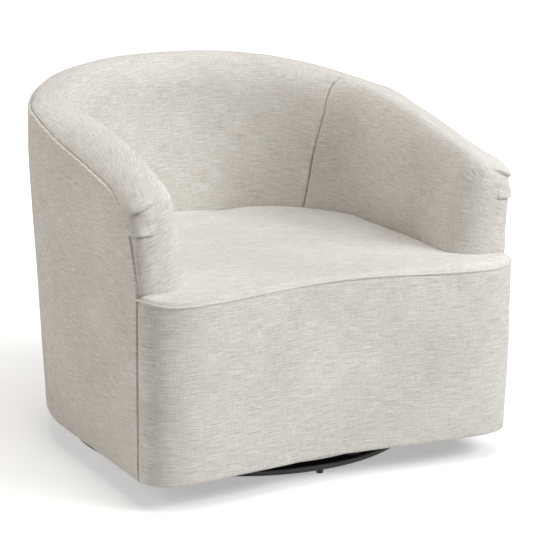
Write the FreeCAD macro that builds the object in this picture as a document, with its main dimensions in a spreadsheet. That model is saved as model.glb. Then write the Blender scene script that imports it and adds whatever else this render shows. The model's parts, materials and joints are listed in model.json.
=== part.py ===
import FreeCAD, Part
import math
import os

import Sketcher

# Swivel barrel chair. The seat faces -Y, +X is the sitter's left, +Z is up.
# The origin lies on the floor, on the swivel axis. All sizes are millimetres.

doc = FreeCAD.newDocument("SwivelBarrelChair")

SIZES = {
    # floor glides
    "glideDiameter": 13,
    "glideHeight": 8,
    "glideRounding": 1.5,
    "glideCount": 6,
    # base ring of flat oval tube, lying flat
    "ringRadius": 337,
    "ringTubeWidth": 30,
    "ringTubeHeight": 15,
    "tubeWall": 1.6,
    "glideStemDiameter": 6,
    "glideStemHeight": 6,
    # two cross rails on the ring
    "railSpacing": 146,
    "railTubeWidth": 30,
    "railTubeHeight": 15,
    "railOverhang": 6.2,
    # swivel plates
    "plateSize": 178,
    "plateThickness": 3,
    "plateRounding": 12,
    "plateBoltSpacing": 146,
    # balls and cage between the plates
    "ballDiameter": 9.9,
    "ballCircleRadius": 56,
    "ballCount": 12,
    "runningClearance": 0.05,
    "cageThickness": 4,
    "cageWidth": 22,
    # centre pin
    "pinDiameter": 12,
    "pinHeadDiameter": 22,
    "pinHeadHeight": 3,
    "washerDiameter": 28,
    "washerThickness": 2,
    # bolts of the swivel plates
    "boltDiameter": 6,
    "boltHeadDiameter": 12,
    "boltHeadHeight": 3,
    "nutDiameter": 11,
    "nutHeight": 5,
    # cross board that carries the upper plate
    "boardThickness": 18,
    "boardDepth": 280,
    "boardPinHole": 36,
    # outer shell: radius of the round back and half width at the arm fronts, at three heights
    "skirtGap": 26,
    "shellCentre": 17,
    "skirtRadius": 380,
    "seatRadius": 393,
    "topRadius": 406,
    "skirtFrontSpread": 0.5,
    "seatFrontTaper": 12,
    "topFrontTaper": 7.5,
    "skirtArmFront": 343,
    "seatArmFront": 351,
    "topArmFront": 358,
    "skirtBorderFront": 405.5,
    "seatBorderFront": 416,
    "cornerWidth": 101.5,
    "frontHollow": 21.5,
    # heights of the upholstery, and how far below the top its crest and the panels' edge run
    "seatSeamHeight": 376,
    "chairHeight": 711,
    "armCrestDrop": 142,
    "middleCrestDrop": 74,
    "armEdgeDrop": 170,
    "middleEdgeDrop": 60,
    "backEdgeDrop": 21,
    "middleEdgeReach": 100,
    "edgeCornerLength": 46,
    # layers of the wall, from the outside in
    "panelThickness": 4,
    "frameDepth": 46,
    "webbingThickness": 2,
    "wallThickness": 105,
    "crestOffset": 47,
    "rollWidth": 96,
    "rollDrop": 78,
    "seamAngle": 62,
    "panelSeamAngle": 74,
    # timber frame
    "plyThickness": 18,
    "sillWidth": 66,
    "topRailThickness": 25,
    "topRailDrop": 14,
    "postWidth": 50,
    "frontPostWidth": 44,
    "deckFrameHeight": 300,
    "seatRailHeight": 60,
    "frontRailThickness": 22,
    "frontRailHalfWidth": 290,
    # springs of the seat
    "springWire": 3.8,
    "springHalfWidth": 24,
    "springPitch": 26,
    "springSpacing": 130,
    "springCount": 4,
    "clipLength": 22,
    "clipWidth": 16,
    "clipHeight": 6,
    # cloths and straps
    "dustCoverThickness": 1,
    "dustCoverHole": 270,
    "deckClothThickness": 1.5,
    "strapWidth": 50,
    # seat and front border
    "borderThickness": 22,
    "weltHeight": 4,
    "weltProud": 1,
    "softClearance": 0.8,
    "seatInset": 2,
    "seatFrontRise": 10,
    "seatFrontBend": 50,
    "seatRearFall": 5,
    "seatCrown": 8,
    # rounded front ends of the arms
    "noseReach": 21,
}

DERIVED = {
    "ringMiddle": "glideHeight + ringTubeHeight / 2",
    "glideTop": "glideHeight + glideStemHeight",
    "ringTop": "glideHeight + ringTubeHeight",
    "ringPathRadius": "ringRadius - ringTubeWidth / 2",
    "ringOuterBend": "ringRadius - ringTubeHeight / 2",
    "ringInnerBend": "ringRadius - ringTubeWidth + ringTubeHeight / 2",
    "ringBend": "ringTubeHeight / 2",
    "ringBore": "ringTubeHeight / 2 - tubeWall",
    "railRightBend": "(railTubeWidth - railTubeHeight) / 2",
    "railLeftBend": "(railTubeHeight - railTubeWidth) / 2",
    "railMiddle": "railTubeHeight / 2",
    "railBend": "railTubeHeight / 2",
    "railBore": "railTubeHeight / 2 - tubeWall",
    "railTop": "ringTop + railTubeHeight",
    "lowerPlateTop": "railTop + plateThickness",
    "raceGap": "ballDiameter + 2 * runningClearance",
    "ballHeight": "lowerPlateTop + raceGap / 2",
    "upperPlateBottom": "lowerPlateTop + raceGap",
    "upperPlateTop": "upperPlateBottom + plateThickness",
    "boardTop": "upperPlateTop + boardThickness",
    "railLength": "2 * (sqrt(ringPathRadius ^ 2 - (railSpacing / 2) ^ 2) + railOverhang)",
    "skirtFrontHalfWidth": "skirtRadius + skirtFrontSpread",
    "seatFrontHalfWidth": "seatRadius - seatFrontTaper",
    "topFrontHalfWidth": "topRadius - topFrontTaper",
    "armCrestHeight": "chairHeight - armCrestDrop",
    "middleCrestHeight": "chairHeight - middleCrestDrop",
    "armEdgeHeight": "chairHeight - armEdgeDrop",
    "middleEdgeHeight": "chairHeight - middleEdgeDrop",
    "backEdgeHeight": "chairHeight - backEdgeDrop",
    "skirtHeight": "ringTop + skirtGap",
    "frameBottom": "skirtHeight + dustCoverThickness",
    "sillTop": "frameBottom + plyThickness",
    "frameInset": "panelThickness + frameDepth",
    "padInset": "panelThickness + frameDepth + webbingThickness",
    "deckHeight": "deckFrameHeight + clipHeight",
    "seatBase": "deckFrameHeight + clipHeight + deckClothThickness",
    "noseBase": "seatSeamHeight + seatFrontRise + seatCrown / 2",
}

sheet = doc.addObject("Spreadsheet::Sheet", "Sizes")
for row, (alias, number) in enumerate(SIZES.items(), start=1):
    sheet.set(f"A{row}", str(number))
    sheet.setAlias(f"A{row}", alias)
for row, (alias, formula) in enumerate(DERIVED.items(), start=1):
    sheet.set(f"B{row}", "=" + formula)
    sheet.setAlias(f"B{row}", alias)
doc.recompute()

VERTICAL = FreeCAD.Vector(0, 0, 1)
FAR = 2000
MIRROR_SIDES = {"left": 1, "right": -1}
parts = []


def size(alias):
    return float(getattr(sheet, alias))


def vector(x, y, z):
    return FreeCAD.Vector(x, y, z)


def keep(item, label):
    item.Label = label
    parts.append(item)
    return item


def keep_shape(shape, label):
    """A sub-part whose shape is worked out by the functions below, at its place in the chair."""
    solids = [solid for solid in shape.Solids if solid.Volume > 1]
    item = doc.addObject("Part::Feature", label)
    item.Shape = solids[0] if len(solids) == 1 else Part.makeCompound(solids)
    item.Placement = FreeCAD.Placement()
    return keep(item, label)


# Sketches

def new_sketch(body, role, name):
    sketch = body.newObject("Sketcher::SketchObject", name)
    plane = [feature for feature in body.Origin.OriginFeatures if feature.Role == role][0]
    sketch.AttachmentSupport = [(plane, "")]
    sketch.MapMode = "FlatFace"
    return sketch


def flat_oval(sketch, left, right, middle, bend):
    """A flat oval between two half circles. All four are sheet names."""
    x1, x2, y, radius = size(left), size(right), size(middle), size(bend)
    low, high = vector(0, y - radius, 0), vector(0, y + radius, 0)
    bottom = sketch.addGeometry(Part.LineSegment(vector(x1, low.y, 0), vector(x2, low.y, 0)), False)
    top = sketch.addGeometry(Part.LineSegment(vector(x2, high.y, 0), vector(x1, high.y, 0)), False)
    quarter = math.pi / 2
    end = sketch.addGeometry(
        Part.ArcOfCircle(Part.Circle(vector(x2, y, 0), VERTICAL, radius), -quarter, quarter), False)
    start = sketch.addGeometry(
        Part.ArcOfCircle(Part.Circle(vector(x1, y, 0), VERTICAL, radius), quarter, 3 * quarter), False)
    for first, first_end, second, second_end in ((bottom, 2, end, 1), (end, 2, top, 1),
                                                 (top, 2, start, 1), (start, 2, bottom, 1)):
        sketch.addConstraint(Sketcher.Constraint("Coincident", first, first_end, second, second_end))
    for arc, name in ((end, right), (start, left)):
        sketch.addConstraint(Sketcher.Constraint("Vertical", arc, 3, arc, 1))
        sketch.addConstraint(Sketcher.Constraint("Vertical", arc, 3, arc, 2))
        bind(sketch, Sketcher.Constraint("DistanceX", -1, 1, arc, 3, size(name)), f"Sizes.{name}")
        bind(sketch, Sketcher.Constraint("DistanceY", -1, 1, arc, 3, y), f"Sizes.{middle}")
        bind(sketch, Sketcher.Constraint("Radius", arc, radius), f"Sizes.{bend}")


def bind(sketch, constraint, expression):
    number = sketch.addConstraint(constraint)
    sketch.setExpression(f"Constraints[{number}]", expression)


def add_circle(sketch, diameter, centre=("0 mm", "0 mm")):
    """A circle. Its diameter and the two places of its centre are expressions."""
    index = sketch.addGeometry(Part.Circle(vector(0, 0, 0), VERTICAL, 1), False)
    bind(sketch, Sketcher.Constraint("Diameter", index, 2), diameter)
    for kind, place in zip(("DistanceX", "DistanceY"), centre):
        bind(sketch, Sketcher.Constraint(kind, -1, 1, index, 3, 0), place)


def add_square(sketch, side):
    """A square about the origin. Its side is a sheet name."""
    half = size(side) / 2
    corners = [(-half, -half), (half, -half), (half, half), (-half, half)]
    signs = [("-", "-"), ("", "-"), ("", ""), ("-", "")]
    for index, corner in enumerate(corners):
        sketch.addGeometry(Part.LineSegment(vector(*corner, 0), vector(*corners[(index + 1) % 4], 0)), False)
    for index, corner in enumerate(corners):
        sketch.addConstraint(Sketcher.Constraint("Coincident", index, 2, (index + 1) % 4, 1))
        for kind, place, sign in zip(("DistanceX", "DistanceY"), corner, signs[index]):
            bind(sketch, Sketcher.Constraint(kind, -1, 1, index, 1, place), f"{sign}Sizes.{side} / 2")


# Bodies

def new_body(label):
    return doc.addObject("PartDesign::Body", label.title().replace("_", ""))


def revolve(body, sketch):
    turned = body.newObject("PartDesign::Revolution", body.Name + "Turned")
    turned.Profile = sketch
    turned.ReferenceAxis = (sketch, ["V_Axis"])
    turned.Angle = 360
    doc.recompute()
    return turned


def pad(body, sketch, length, both_ways=False):
    raised = body.newObject("PartDesign::Pad", body.Name + "Raised")
    raised.Profile = sketch
    raised.setExpression("Length", f"Sizes.{length}")
    raised.Midplane = both_ways
    doc.recompute()
    return raised


def drill(body, sketch, depth=None):
    """Round holes upwards from the sketch's plane, right through or to a named depth."""
    before = body.Shape.Volume
    holes = body.newObject("PartDesign::Pocket", body.Name + "Holes")
    holes.Profile = sketch
    if depth:
        holes.Reversed = True
        holes.setExpression("Length", f"Sizes.{depth}")
    else:
        holes.Type = "ThroughAll"
        holes.Midplane = True
    doc.recompute()
    if body.Shape.Volume > before - 1:
        raise RuntimeError(f"the holes of {body.Name} miss it")


def round_edges(body, feature, radius, choose):
    names = [f"Edge{n}" for n, edge in enumerate(feature.Shape.Edges, start=1) if choose(edge)]
    rounding = body.newObject("PartDesign::Fillet", body.Name + "Rounded")
    rounding.Base = (feature, names)
    rounding.setExpression("Radius", f"Sizes.{radius}")
    doc.recompute()
    return rounding


def is_circle(edge):
    return isinstance(edge.Curve, Part.Circle)


def runs_along(axis):
    def choose(edge):
        return isinstance(edge.Curve, Part.Line) and abs(edge.Curve.Direction.dot(axis)) > 0.999
    return choose


def lift(item, height):
    item.setExpression("Placement.Base.z", f"Sizes.{height}")


# Base: ring, cross rails, glides

def glide_turn(number):
    return f"({number} * 360 / Sizes.glideCount - 90) * 1 deg"


def glide_place(number):
    turn = glide_turn(number)
    return f"Sizes.ringPathRadius * cos({turn})", f"Sizes.ringPathRadius * sin({turn})"


def glide_numbers():
    return range(int(size("glideCount")))


def build_ring():
    body = new_body("base_ring")
    section = new_sketch(body, "XZ_Plane", "RingSection")
    flat_oval(section, "ringInnerBend", "ringOuterBend", "ringMiddle", "ringBend")
    flat_oval(section, "ringInnerBend", "ringOuterBend", "ringMiddle", "ringBore")
    revolve(body, section)
    sockets = new_sketch(body, "XY_Plane", "RingSockets")
    for number in glide_numbers():
        add_circle(sockets, "Sizes.glideStemDiameter", glide_place(number))
    drill(body, sockets, "ringMiddle")
    keep(body, "base_ring")


def build_rail(label, side):
    body = new_body(label)
    section = new_sketch(body, "XZ_Plane", label + "Section")
    flat_oval(section, "railLeftBend", "railRightBend", "railMiddle", "railBend")
    flat_oval(section, "railLeftBend", "railRightBend", "railMiddle", "railBore")
    pad(body, section, "railLength", both_ways=True)
    bolts = new_sketch(body, "XY_Plane", label + "Bolts")
    for row in ("", "-"):
        add_circle(bolts, "Sizes.boltDiameter", ("0 mm", f"{row}Sizes.plateBoltSpacing / 2"))
    drill(body, bolts)
    body.setExpression("Placement.Base.x", f"{side} * Sizes.railSpacing / 2")
    lift(body, "ringTop")
    keep(body, label)


def build_glide(number):
    label = f"glide_{number + 1}"
    body = new_body(label)
    foot = new_sketch(body, "XY_Plane", label + "Foot")
    add_circle(foot, "Sizes.glideDiameter")
    raised = pad(body, foot, "glideHeight")
    round_edges(body, raised, "glideRounding",
                lambda edge: is_circle(edge) and edge.BoundBox.ZMax < size("glideHeight") / 2)
    stem = new_sketch(body, "XY_Plane", label + "Stem")
    add_circle(stem, "Sizes.glideStemDiameter")
    pad(body, stem, "glideTop")
    for axis, place in zip("xy", glide_place(number)):
        body.setExpression(f"Placement.Base.{axis}", place)
    keep(body, label)


# Swivel: plates, pin, balls, bolts

def build_plate(label, height, centre_hole):
    body = new_body(label)
    outline = new_sketch(body, "XY_Plane", label + "Outline")
    add_square(outline, "plateSize")
    raised = pad(body, outline, "plateThickness")
    round_edges(body, raised, "plateRounding", runs_along(VERTICAL))
    holes = new_sketch(body, "XY_Plane", label + "Holes")
    for across in ("", "-"):
        for along in ("", "-"):
            add_circle(holes, "Sizes.boltDiameter",
                       (f"{across}Sizes.railSpacing / 2", f"{along}Sizes.plateBoltSpacing / 2"))
    add_circle(holes, centre_hole)
    drill(body, holes)
    lift(body, height)
    keep(body, label)


def build_pin():
    pin, head, washer = size("pinDiameter") / 2, size("pinHeadDiameter") / 2, size("washerDiameter") / 2
    gap = size("runningClearance")
    plate = size("plateThickness")
    washer_low = size("upperPlateTop") + gap
    washer_top = washer_low + size("washerThickness")
    lower_head = Part.makeCylinder(head, size("pinHeadHeight"), vector(0, 0, size("railTop") - size("pinHeadHeight")))
    shank = Part.makeCylinder(pin, washer_top - size("railTop"), vector(0, 0, size("railTop")))
    upper_head = Part.makeCylinder(head, size("pinHeadHeight"), vector(0, 0, washer_top))
    keep_shape(lower_head.fuse([shank, upper_head]).removeSplitter(), "centre_pin")
    ring = Part.makeCylinder(washer, washer_top - washer_low, vector(0, 0, washer_low))
    hole = Part.makeCylinder(pin, plate, vector(0, 0, washer_low))
    keep_shape(ring.cut(hole), "pin_washer")


def round_places(count, radius):
    for number in range(int(count)):
        turn = 2 * math.pi * number / count
        yield radius * math.cos(turn), radius * math.sin(turn)


def build_bearing():
    ball, radius = size("ballDiameter") / 2, size("ballCircleRadius")
    middle, half = size("ballHeight"), size("cageThickness") / 2
    inner, outer = radius - size("cageWidth") / 2, radius + size("cageWidth") / 2
    cage = Part.makeCylinder(outer, 2 * half, vector(0, 0, middle - half))
    cage = cage.cut(Part.makeCylinder(inner, 2 * half, vector(0, 0, middle - half)))
    balls = []
    for x, y in round_places(size("ballCount"), radius):
        balls.append(Part.makeSphere(ball, vector(x, y, middle)))
        pocket = Part.makeCylinder(ball + size("runningClearance"), 2 * half, vector(x, y, middle - half))
        cage = cage.cut(pocket)
    keep_shape(cage, "ball_cage")
    keep_shape(Part.makeCompound(balls), "bearing_balls")


def bolt(length):
    """A pan head bolt, head below, its seat at zero and its shank upwards."""
    head = Part.makeCylinder(size("boltHeadDiameter") / 2, size("boltHeadHeight"),
                             vector(0, 0, -size("boltHeadHeight")))
    head = head.makeFillet(size("boltHeadHeight") / 3, [e for e in head.Edges if e.BoundBox.ZMax < -1])
    return head.fuse(Part.makeCylinder(size("boltDiameter") / 2, length)).removeSplitter()


def hexagon(across, height):
    corners = [vector(x, y, 0) for x, y in round_places(6, across / math.sqrt(3))]
    return Part.Face(Part.makePolygon(corners + corners[:1])).extrude(vector(0, 0, height))


def bolt_places():
    for x in (-size("railSpacing") / 2, size("railSpacing") / 2):
        for y in (-size("plateBoltSpacing") / 2, size("plateBoltSpacing") / 2):
            yield x, y


def moved(shape, x, y, z):
    copy = shape.copy()
    copy.translate(vector(x, y, z))
    return copy


def build_bolts():
    upper = bolt(size("plateThickness") + size("boardThickness"))
    keep_shape(Part.makeCompound([moved(upper, x, y, size("upperPlateBottom")) for x, y in bolt_places()]),
               "upper_plate_bolts")
    lower = bolt(size("plateThickness") + size("railTubeHeight") + size("nutHeight"))
    lower.rotate(vector(0, 0, 0), vector(1, 0, 0), 180)
    keep_shape(Part.makeCompound([moved(lower, x, y, size("lowerPlateTop")) for x, y in bolt_places()]),
               "lower_plate_bolts")
    nut = hexagon(size("nutDiameter"), size("nutHeight"))
    nut = nut.cut(Part.makeCylinder(size("boltDiameter") / 2, size("nutHeight")))
    keep_shape(Part.makeCompound([moved(nut, x, y, size("ringTop") - size("nutHeight")) for x, y in bolt_places()]),
               "lower_plate_nuts")


# Outer form of the chair: plan outlines at three heights, ruled between them

LEVELS = ("skirt", "seat", "top")
# 1 bends the front corners like an ellipse, less makes them fuller
CORNER_FULLNESS = 0.75


def level_height(level):
    return {"skirt": size("skirtHeight"), "seat": size("seatSeamHeight"), "top": size("chairHeight")}[level]


def plan_outline(level, inset):
    """The closed plan of the chair at one level, drawn in by an inset."""
    z = level_height(level)
    radius = size(level + "Radius") - inset
    centre = size("shellCentre")
    half = size(level + "FrontHalfWidth")
    arm = -size(level + "ArmFront")
    border = -size(("seat" if level == "top" else level) + "BorderFront")
    corner = half - size("cornerWidth")
    bend = math.cos(math.pi / 4) ** CORNER_FULLNESS
    slant = math.cos(math.pi / 4)

    def point(x, y):
        return vector(x, y, z)

    def arc(*points):
        return Part.Arc(*points).toShape()

    edges = [
        arc(point(radius, centre), point(radius * slant, centre + radius * slant), point(0, centre + radius)),
        arc(point(0, centre + radius), point(-radius * slant, centre + radius * slant), point(-radius, centre)),
        Part.makeLine(point(-radius, centre), point(inset - half, arm)),
    ]
    corner_x = corner + (half - inset - corner) * bend
    corner_y = arm - (arm - border - inset) * bend
    edges.append(arc(point(inset - half, arm), point(-corner_x, corner_y), point(-corner, border + inset)))
    edges.append(arc(point(-corner, border + inset), point(0, border + inset + size("frontHollow")),
                     point(corner, border + inset)))
    edges.append(arc(point(corner, border + inset), point(corner_x, corner_y), point(half - inset, arm)))
    edges.append(Part.makeLine(point(half - inset, arm), point(radius, centre)))
    return Part.Wire(edges)


def well_outline(level, inset):
    """The plan of the space inside the wall: round behind, with sides that run straight on past the front."""
    z = level_height(level)
    radius = size(level + "Radius") - inset
    half = size(level + "FrontHalfWidth") - inset
    centre, arm, ahead = size("shellCentre"), -size(level + "ArmFront"), -FAR / 2
    slant = math.cos(math.pi / 4)
    right = [vector(radius, centre, z), vector(radius * slant, centre + radius * slant, z)]
    left = [vector(-radius, centre, z), vector(-radius * slant, centre + radius * slant, z)]
    back = vector(0, centre + radius, z)
    corners = [left[0], vector(-half, arm, z), vector(-half, ahead, z),
               vector(half, ahead, z), vector(half, arm, z), right[0]]
    edges = [Part.Arc(right[0], right[1], back).toShape(), Part.Arc(back, left[1], left[0]).toShape()]
    edges += [Part.makeLine(start, end) for start, end in zip(corners, corners[1:])]
    return Part.Wire(edges)


shell_forms = {}
well_forms = {}


def shell_form(inset):
    """The whole chair's outer form, drawn in by an inset, as one solid from skirt to crest."""
    if inset not in shell_forms:
        outlines = [plan_outline(level, inset) for level in LEVELS]
        shell_forms[inset] = Part.makeLoft(outlines, True, True)
    return shell_forms[inset]


def well_form(inset):
    """The space inside the wall at an inset, open to the front, as one solid."""
    if inset not in well_forms:
        outlines = [well_outline(level, inset) for level in LEVELS]
        well_forms[inset] = Part.makeLoft(outlines, True, True)
    return well_forms[inset]


def wall(outer_inset, inner_inset):
    """The layer of the arms and back between two insets."""
    return shell_form(outer_inset).cut(well_form(inner_inset)).cut(front_block())


def front_layer(outer_inset, inner_inset):
    """The layer across the front between two insets."""
    return shell_form(outer_inset).cut(shell_form(inner_inset)).common(front_block())


def slab(low, high):
    return Part.makeBox(2 * FAR, 2 * FAR, high - low, vector(-FAR, -FAR, low))


def side_prism(points):
    """A block as wide as the chair whose side view is the polygon of (y, z) points."""
    corners = [vector(-FAR, y, z) for y, z in points]
    return Part.Face(Part.makePolygon(corners + corners[:1])).extrude(vector(2 * FAR, 0, 0))


def plan_prism(points):
    corners = [vector(x, y, -FAR) for x, y in points]
    return Part.Face(Part.makePolygon(corners + corners[:1])).extrude(vector(0, 0, 2 * FAR))


def half_space(side):
    return Part.makeBox(FAR, 2 * FAR, 2 * FAR, vector(0 if side > 0 else -FAR, -FAR, -FAR))


def front_line():
    """Side view of the arms' front edge, from skirt to crest."""
    return [(-size(level + "ArmFront"), level_height(level)) for level in LEVELS]


def front_block():
    """Everything before the arms' front edge."""
    line = front_line()
    return side_prism([(line[0][0], 0)] + line + [(line[-1][0], FAR), (-FAR, FAR), (-FAR, 0)])


def edge_height(y):
    """Height of the outer panels' top edge."""
    front, middle = -size("seatArmFront"), size("middleEdgeReach")
    back = size("shellCentre") + size("topRadius")
    if y < middle:
        share = (y - front) / (middle - front)
        return size("armEdgeHeight") + share * (size("middleEdgeHeight") - size("armEdgeHeight"))
    share = (y - middle) / (back - middle)
    return size("middleEdgeHeight") + share * (size("backEdgeHeight") - size("middleEdgeHeight"))


def crest_height(y):
    """Height of the crest of the padded roll."""
    front, middle = -size("seatArmFront"), size("shellCentre")
    back = size("shellCentre") + size("topRadius") - size("crestOffset")
    if y < middle:
        share = (y - front) / (middle - front)
        return size("armCrestHeight") + share * (size("middleCrestHeight") - size("armCrestHeight"))
    share = (y - middle) / (back - middle)
    return size("middleCrestHeight") + share * (size("chairHeight") - size("middleCrestHeight"))


def below_edge(drop):
    """Everything lower than the panels' top edge by a drop."""
    stations = (-FAR, size("middleEdgeReach"), FAR)
    top = [(y, edge_height(y) - drop) for y in stations]
    return side_prism([(-FAR, -FAR)] + top + [(FAR, -FAR)])


def back_wedge(angle):
    """The block behind two upright planes through the shell's centre, an angle each side of the middle."""
    centre = size("shellCentre")
    reach = FAR * math.tan(math.radians(angle))
    return plan_prism([(0, centre), (reach, centre + FAR), (-reach, centre + FAR)])


def spoke(angle, width):
    """An upright block of a width that runs from the shell's centre outwards, turned from the middle of the back."""
    centre = size("shellCentre")
    block = Part.makeBox(width, FAR, FAR, vector(-width / 2, centre, 0))
    block.rotate(vector(0, centre, 0), VERTICAL, -angle)
    return block


# Timber frame

def front_post_block():
    """The upright blocks at the arms' front ends."""
    line = front_line()
    width = size("frontPostWidth")
    points = [(line[0][0], 0)] + line + [(y + width, z) for y, z in reversed(line)] + [(line[0][0] + width, 0)]
    return side_prism(points)


def build_frame():
    layer = wall(size("panelThickness"), size("frameInset"))
    border_inset = size("borderThickness")
    sill_top, deck = size("sillTop"), size("deckFrameHeight")
    rail_drop = size("topRailDrop")
    rail_under = rail_drop + size("topRailThickness")
    seam = size("seamAngle")
    rear = back_wedge(seam)
    ahead = front_block()

    # sill: a flat ring of four boards, stepped in behind the front border
    outer = shell_form(size("panelThickness")).cut(ahead.cut(shell_form(border_inset)))
    inner = shell_form(size("panelThickness") + size("sillWidth"))
    sill = outer.cut(inner).common(slab(size("frameBottom"), sill_top))
    lap = size("frontPostWidth") - size("skirtArmFront")
    front_zone = Part.makeBox(2 * FAR, FAR + lap, 2 * FAR, vector(-FAR, -FAR, -FAR))
    keep_shape(sill.common(front_zone), "sill_front")
    keep_shape(sill.common(rear), "sill_back")
    sides = sill.cut(front_zone).cut(rear)
    for name, side in MIRROR_SIDES.items():
        keep_shape(sides.common(half_space(side)), "sill_" + name)

    # posts stand on the sill and end under the top rails
    upright = layer.common(slab(sill_top, FAR)).common(below_edge(rail_under))
    front_posts = upright.common(front_post_block())
    middle_posts = upright.common(Part.makeCompound([spoke(90, size("postWidth")), spoke(-90, size("postWidth"))]))
    rear_posts = upright.common(Part.makeCompound([spoke(seam, size("postWidth")), spoke(-seam, size("postWidth"))]))
    for name, side in MIRROR_SIDES.items():
        keep_shape(front_posts.common(half_space(side)), "front_post_" + name)
        keep_shape(middle_posts.common(half_space(side)), "middle_post_" + name)
        keep_shape(rear_posts.common(half_space(side)), "rear_post_" + name)
    back_post = upright.common(spoke(0, size("postWidth")))
    keep_shape(back_post, "back_post")

    # top rails follow the slope of the edge
    top = layer.common(below_edge(rail_drop)).cut(below_edge(rail_under))
    keep_shape(top.common(rear), "back_top_rail")
    for name, side in MIRROR_SIDES.items():
        keep_shape(top.cut(rear).common(half_space(side)), "arm_rail_" + name)

    # seat rails run between the posts
    posts = Part.makeCompound([front_posts, middle_posts, rear_posts, back_post])
    belt = layer.common(slab(deck - size("seatRailHeight"), deck)).cut(posts)
    keep_shape(belt.common(rear), "seat_rail_back")
    for name, side in MIRROR_SIDES.items():
        keep_shape(belt.cut(rear).common(half_space(side)), "seat_rail_" + name)

    # front rail and the corner blocks that carry the seat's front corners
    rail = front_layer(border_inset, border_inset + size("frontRailThickness")).common(slab(sill_top, deck))
    half = size("frontRailHalfWidth")
    span = Part.makeBox(2 * half, FAR, 2 * FAR, vector(-half, -FAR, -FAR))
    keep_shape(rail.common(span), "front_rail")
    corners = shell_form(border_inset).common(ahead).cut(span).common(slab(deck - size("seatRailHeight"), deck))
    for name, side in MIRROR_SIDES.items():
        keep_shape(corners.common(half_space(side)), "corner_block_" + name)


def build_board():
    """The cross board under the seat that carries the upper plate."""
    depth, low = size("boardDepth"), size("upperPlateTop")
    block = Part.makeBox(2 * FAR, depth, size("boardThickness"), vector(-FAR, -depth / 2, low))
    board = block.common(shell_form(size("panelThickness") + size("sillWidth")))
    thickness = size("boardThickness")
    board = board.cut(Part.makeCylinder(size("boardPinHole") / 2, thickness, vector(0, 0, low)))
    for x, y in bolt_places():
        board = board.cut(Part.makeCylinder(size("boltDiameter") / 2, thickness, vector(x, y, low)))
    keep_shape(board, "swivel_board")


# Seat springs

def spring_path(x, start, end, z):
    """Cross bars joined by half turns, from the front rail to the back rail."""
    half, pitch = size("springHalfWidth"), size("springPitch")
    count = max(2, round((end - start) / pitch))
    step = (end - start) / count
    edges = []
    side = 1
    for number in range(count + 1):
        y = start + number * step
        edges.append(Part.makeLine(vector(x - side * half, y, z), vector(x + side * half, y, z)))
        if number < count:
            turn = x + side * half
            tip = vector(turn + side * step / 2, y + step / 2, z)
            reach = side * step / 2 * math.sin(math.pi / 4)
            rise = step / 2 * (1 - math.cos(math.pi / 4))
            edges.append(Part.Arc(vector(turn, y, z), vector(turn + reach, y + rise, z), tip).toShape())
            edges.append(Part.Arc(tip, vector(turn + reach, y + step - rise, z),
                                  vector(turn, y + step, z)).toShape())
        side = -side
    return Part.Wire(edges)


def build_springs():
    wire = size("springWire")
    z = size("deckFrameHeight") + wire / 2
    rail_back = size("borderThickness") + size("frontRailThickness") - size("seatBorderFront")
    corner = size("seatFrontHalfWidth") - size("cornerWidth")
    reach = (size("skirtRadius") + size("seatRadius")) / 2 - size("panelThickness") - size("frameDepth") / 2
    length, width = size("clipLength"), size("clipWidth")
    clips = []
    for number in range(int(size("springCount"))):
        x = (number - (size("springCount") - 1) / 2) * size("springSpacing")
        front = rail_back - size("clipWidth") / 2 + size("frontHollow") * (1 - (x / corner) ** 2)
        rear = size("shellCentre") + math.sqrt(reach ** 2 - x ** 2)
        path = spring_path(x, front, rear, z)
        start = path.Edges[0].Vertexes[0].Point
        direction = vector(1 if start.x < x else -1, 0, 0)
        section = Part.Wire(Part.makeCircle(wire / 2, start, direction))
        keep_shape(path.makePipeShell([section], True, False), f"seat_spring_{number + 1}")
        for y in (front, rear):
            left, deck = x - length / 2, size("deckFrameHeight")
            clip = Part.makeBox(length, width, size("clipHeight"), vector(left, y - width / 2, deck))
            throat = Part.makeBox(length, wire, wire / 2, vector(left, y - wire / 2, deck))
            groove = Part.makeCylinder(wire / 2, length, vector(left, y, z), vector(1, 0, 0))
            clips.append(clip.cut(throat.fuse(groove)))
    keep_shape(Part.makeCompound(clips), "spring_clips")


# Cloths and straps

def build_cloths():
    low = size("skirtHeight")
    cover = shell_form(size("panelThickness")).cut(front_block().cut(shell_form(size("borderThickness"))))
    cover = cover.common(slab(low, size("frameBottom")))
    hole = Part.makeCylinder(size("dustCoverHole") / 2, size("dustCoverThickness"), vector(0, 0, low))
    keep_shape(cover.cut(hole), "dust_cover")
    deck = size("deckHeight")
    ahead = front_block()
    cloth = well_form(size("frameInset")).cut(ahead).fuse(shell_form(size("borderThickness")).common(ahead))
    keep_shape(cloth.removeSplitter().common(slab(deck, size("seatBase"))), "deck_cloth")
    straps = wall(size("frameInset"), size("padInset")).common(back_wedge(size("seamAngle")))
    step = (size("backEdgeHeight") - size("seatBase")) / 4
    for number in (1, 2, 3):
        low = size("seatBase") + number * step - size("strapWidth") / 2
        strap = straps.common(slab(low, low + size("strapWidth")))
        keep_shape(strap, f"back_strap_{number}")


# Padding. The middle of each of the roll's two arcs lies at these shares of the way across and up or down.

OUTER_BEND = (0.32, 0.74)
INNER_BEND = (0.72, 0.3)
# the wall narrows over this share of its thickness, by this share of it, towards the arm's front
FRONT_TURN = (0.45, 0.42)
# sections of the arm near its front edge, behind it by these shares of the wall's thickness
ARM_FRONT_SECTIONS = (-0.08, 0.11, 0.3, 0.53)
ARM_REAR_ANGLE = 88
SEAM_OVERLAP = 8
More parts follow.
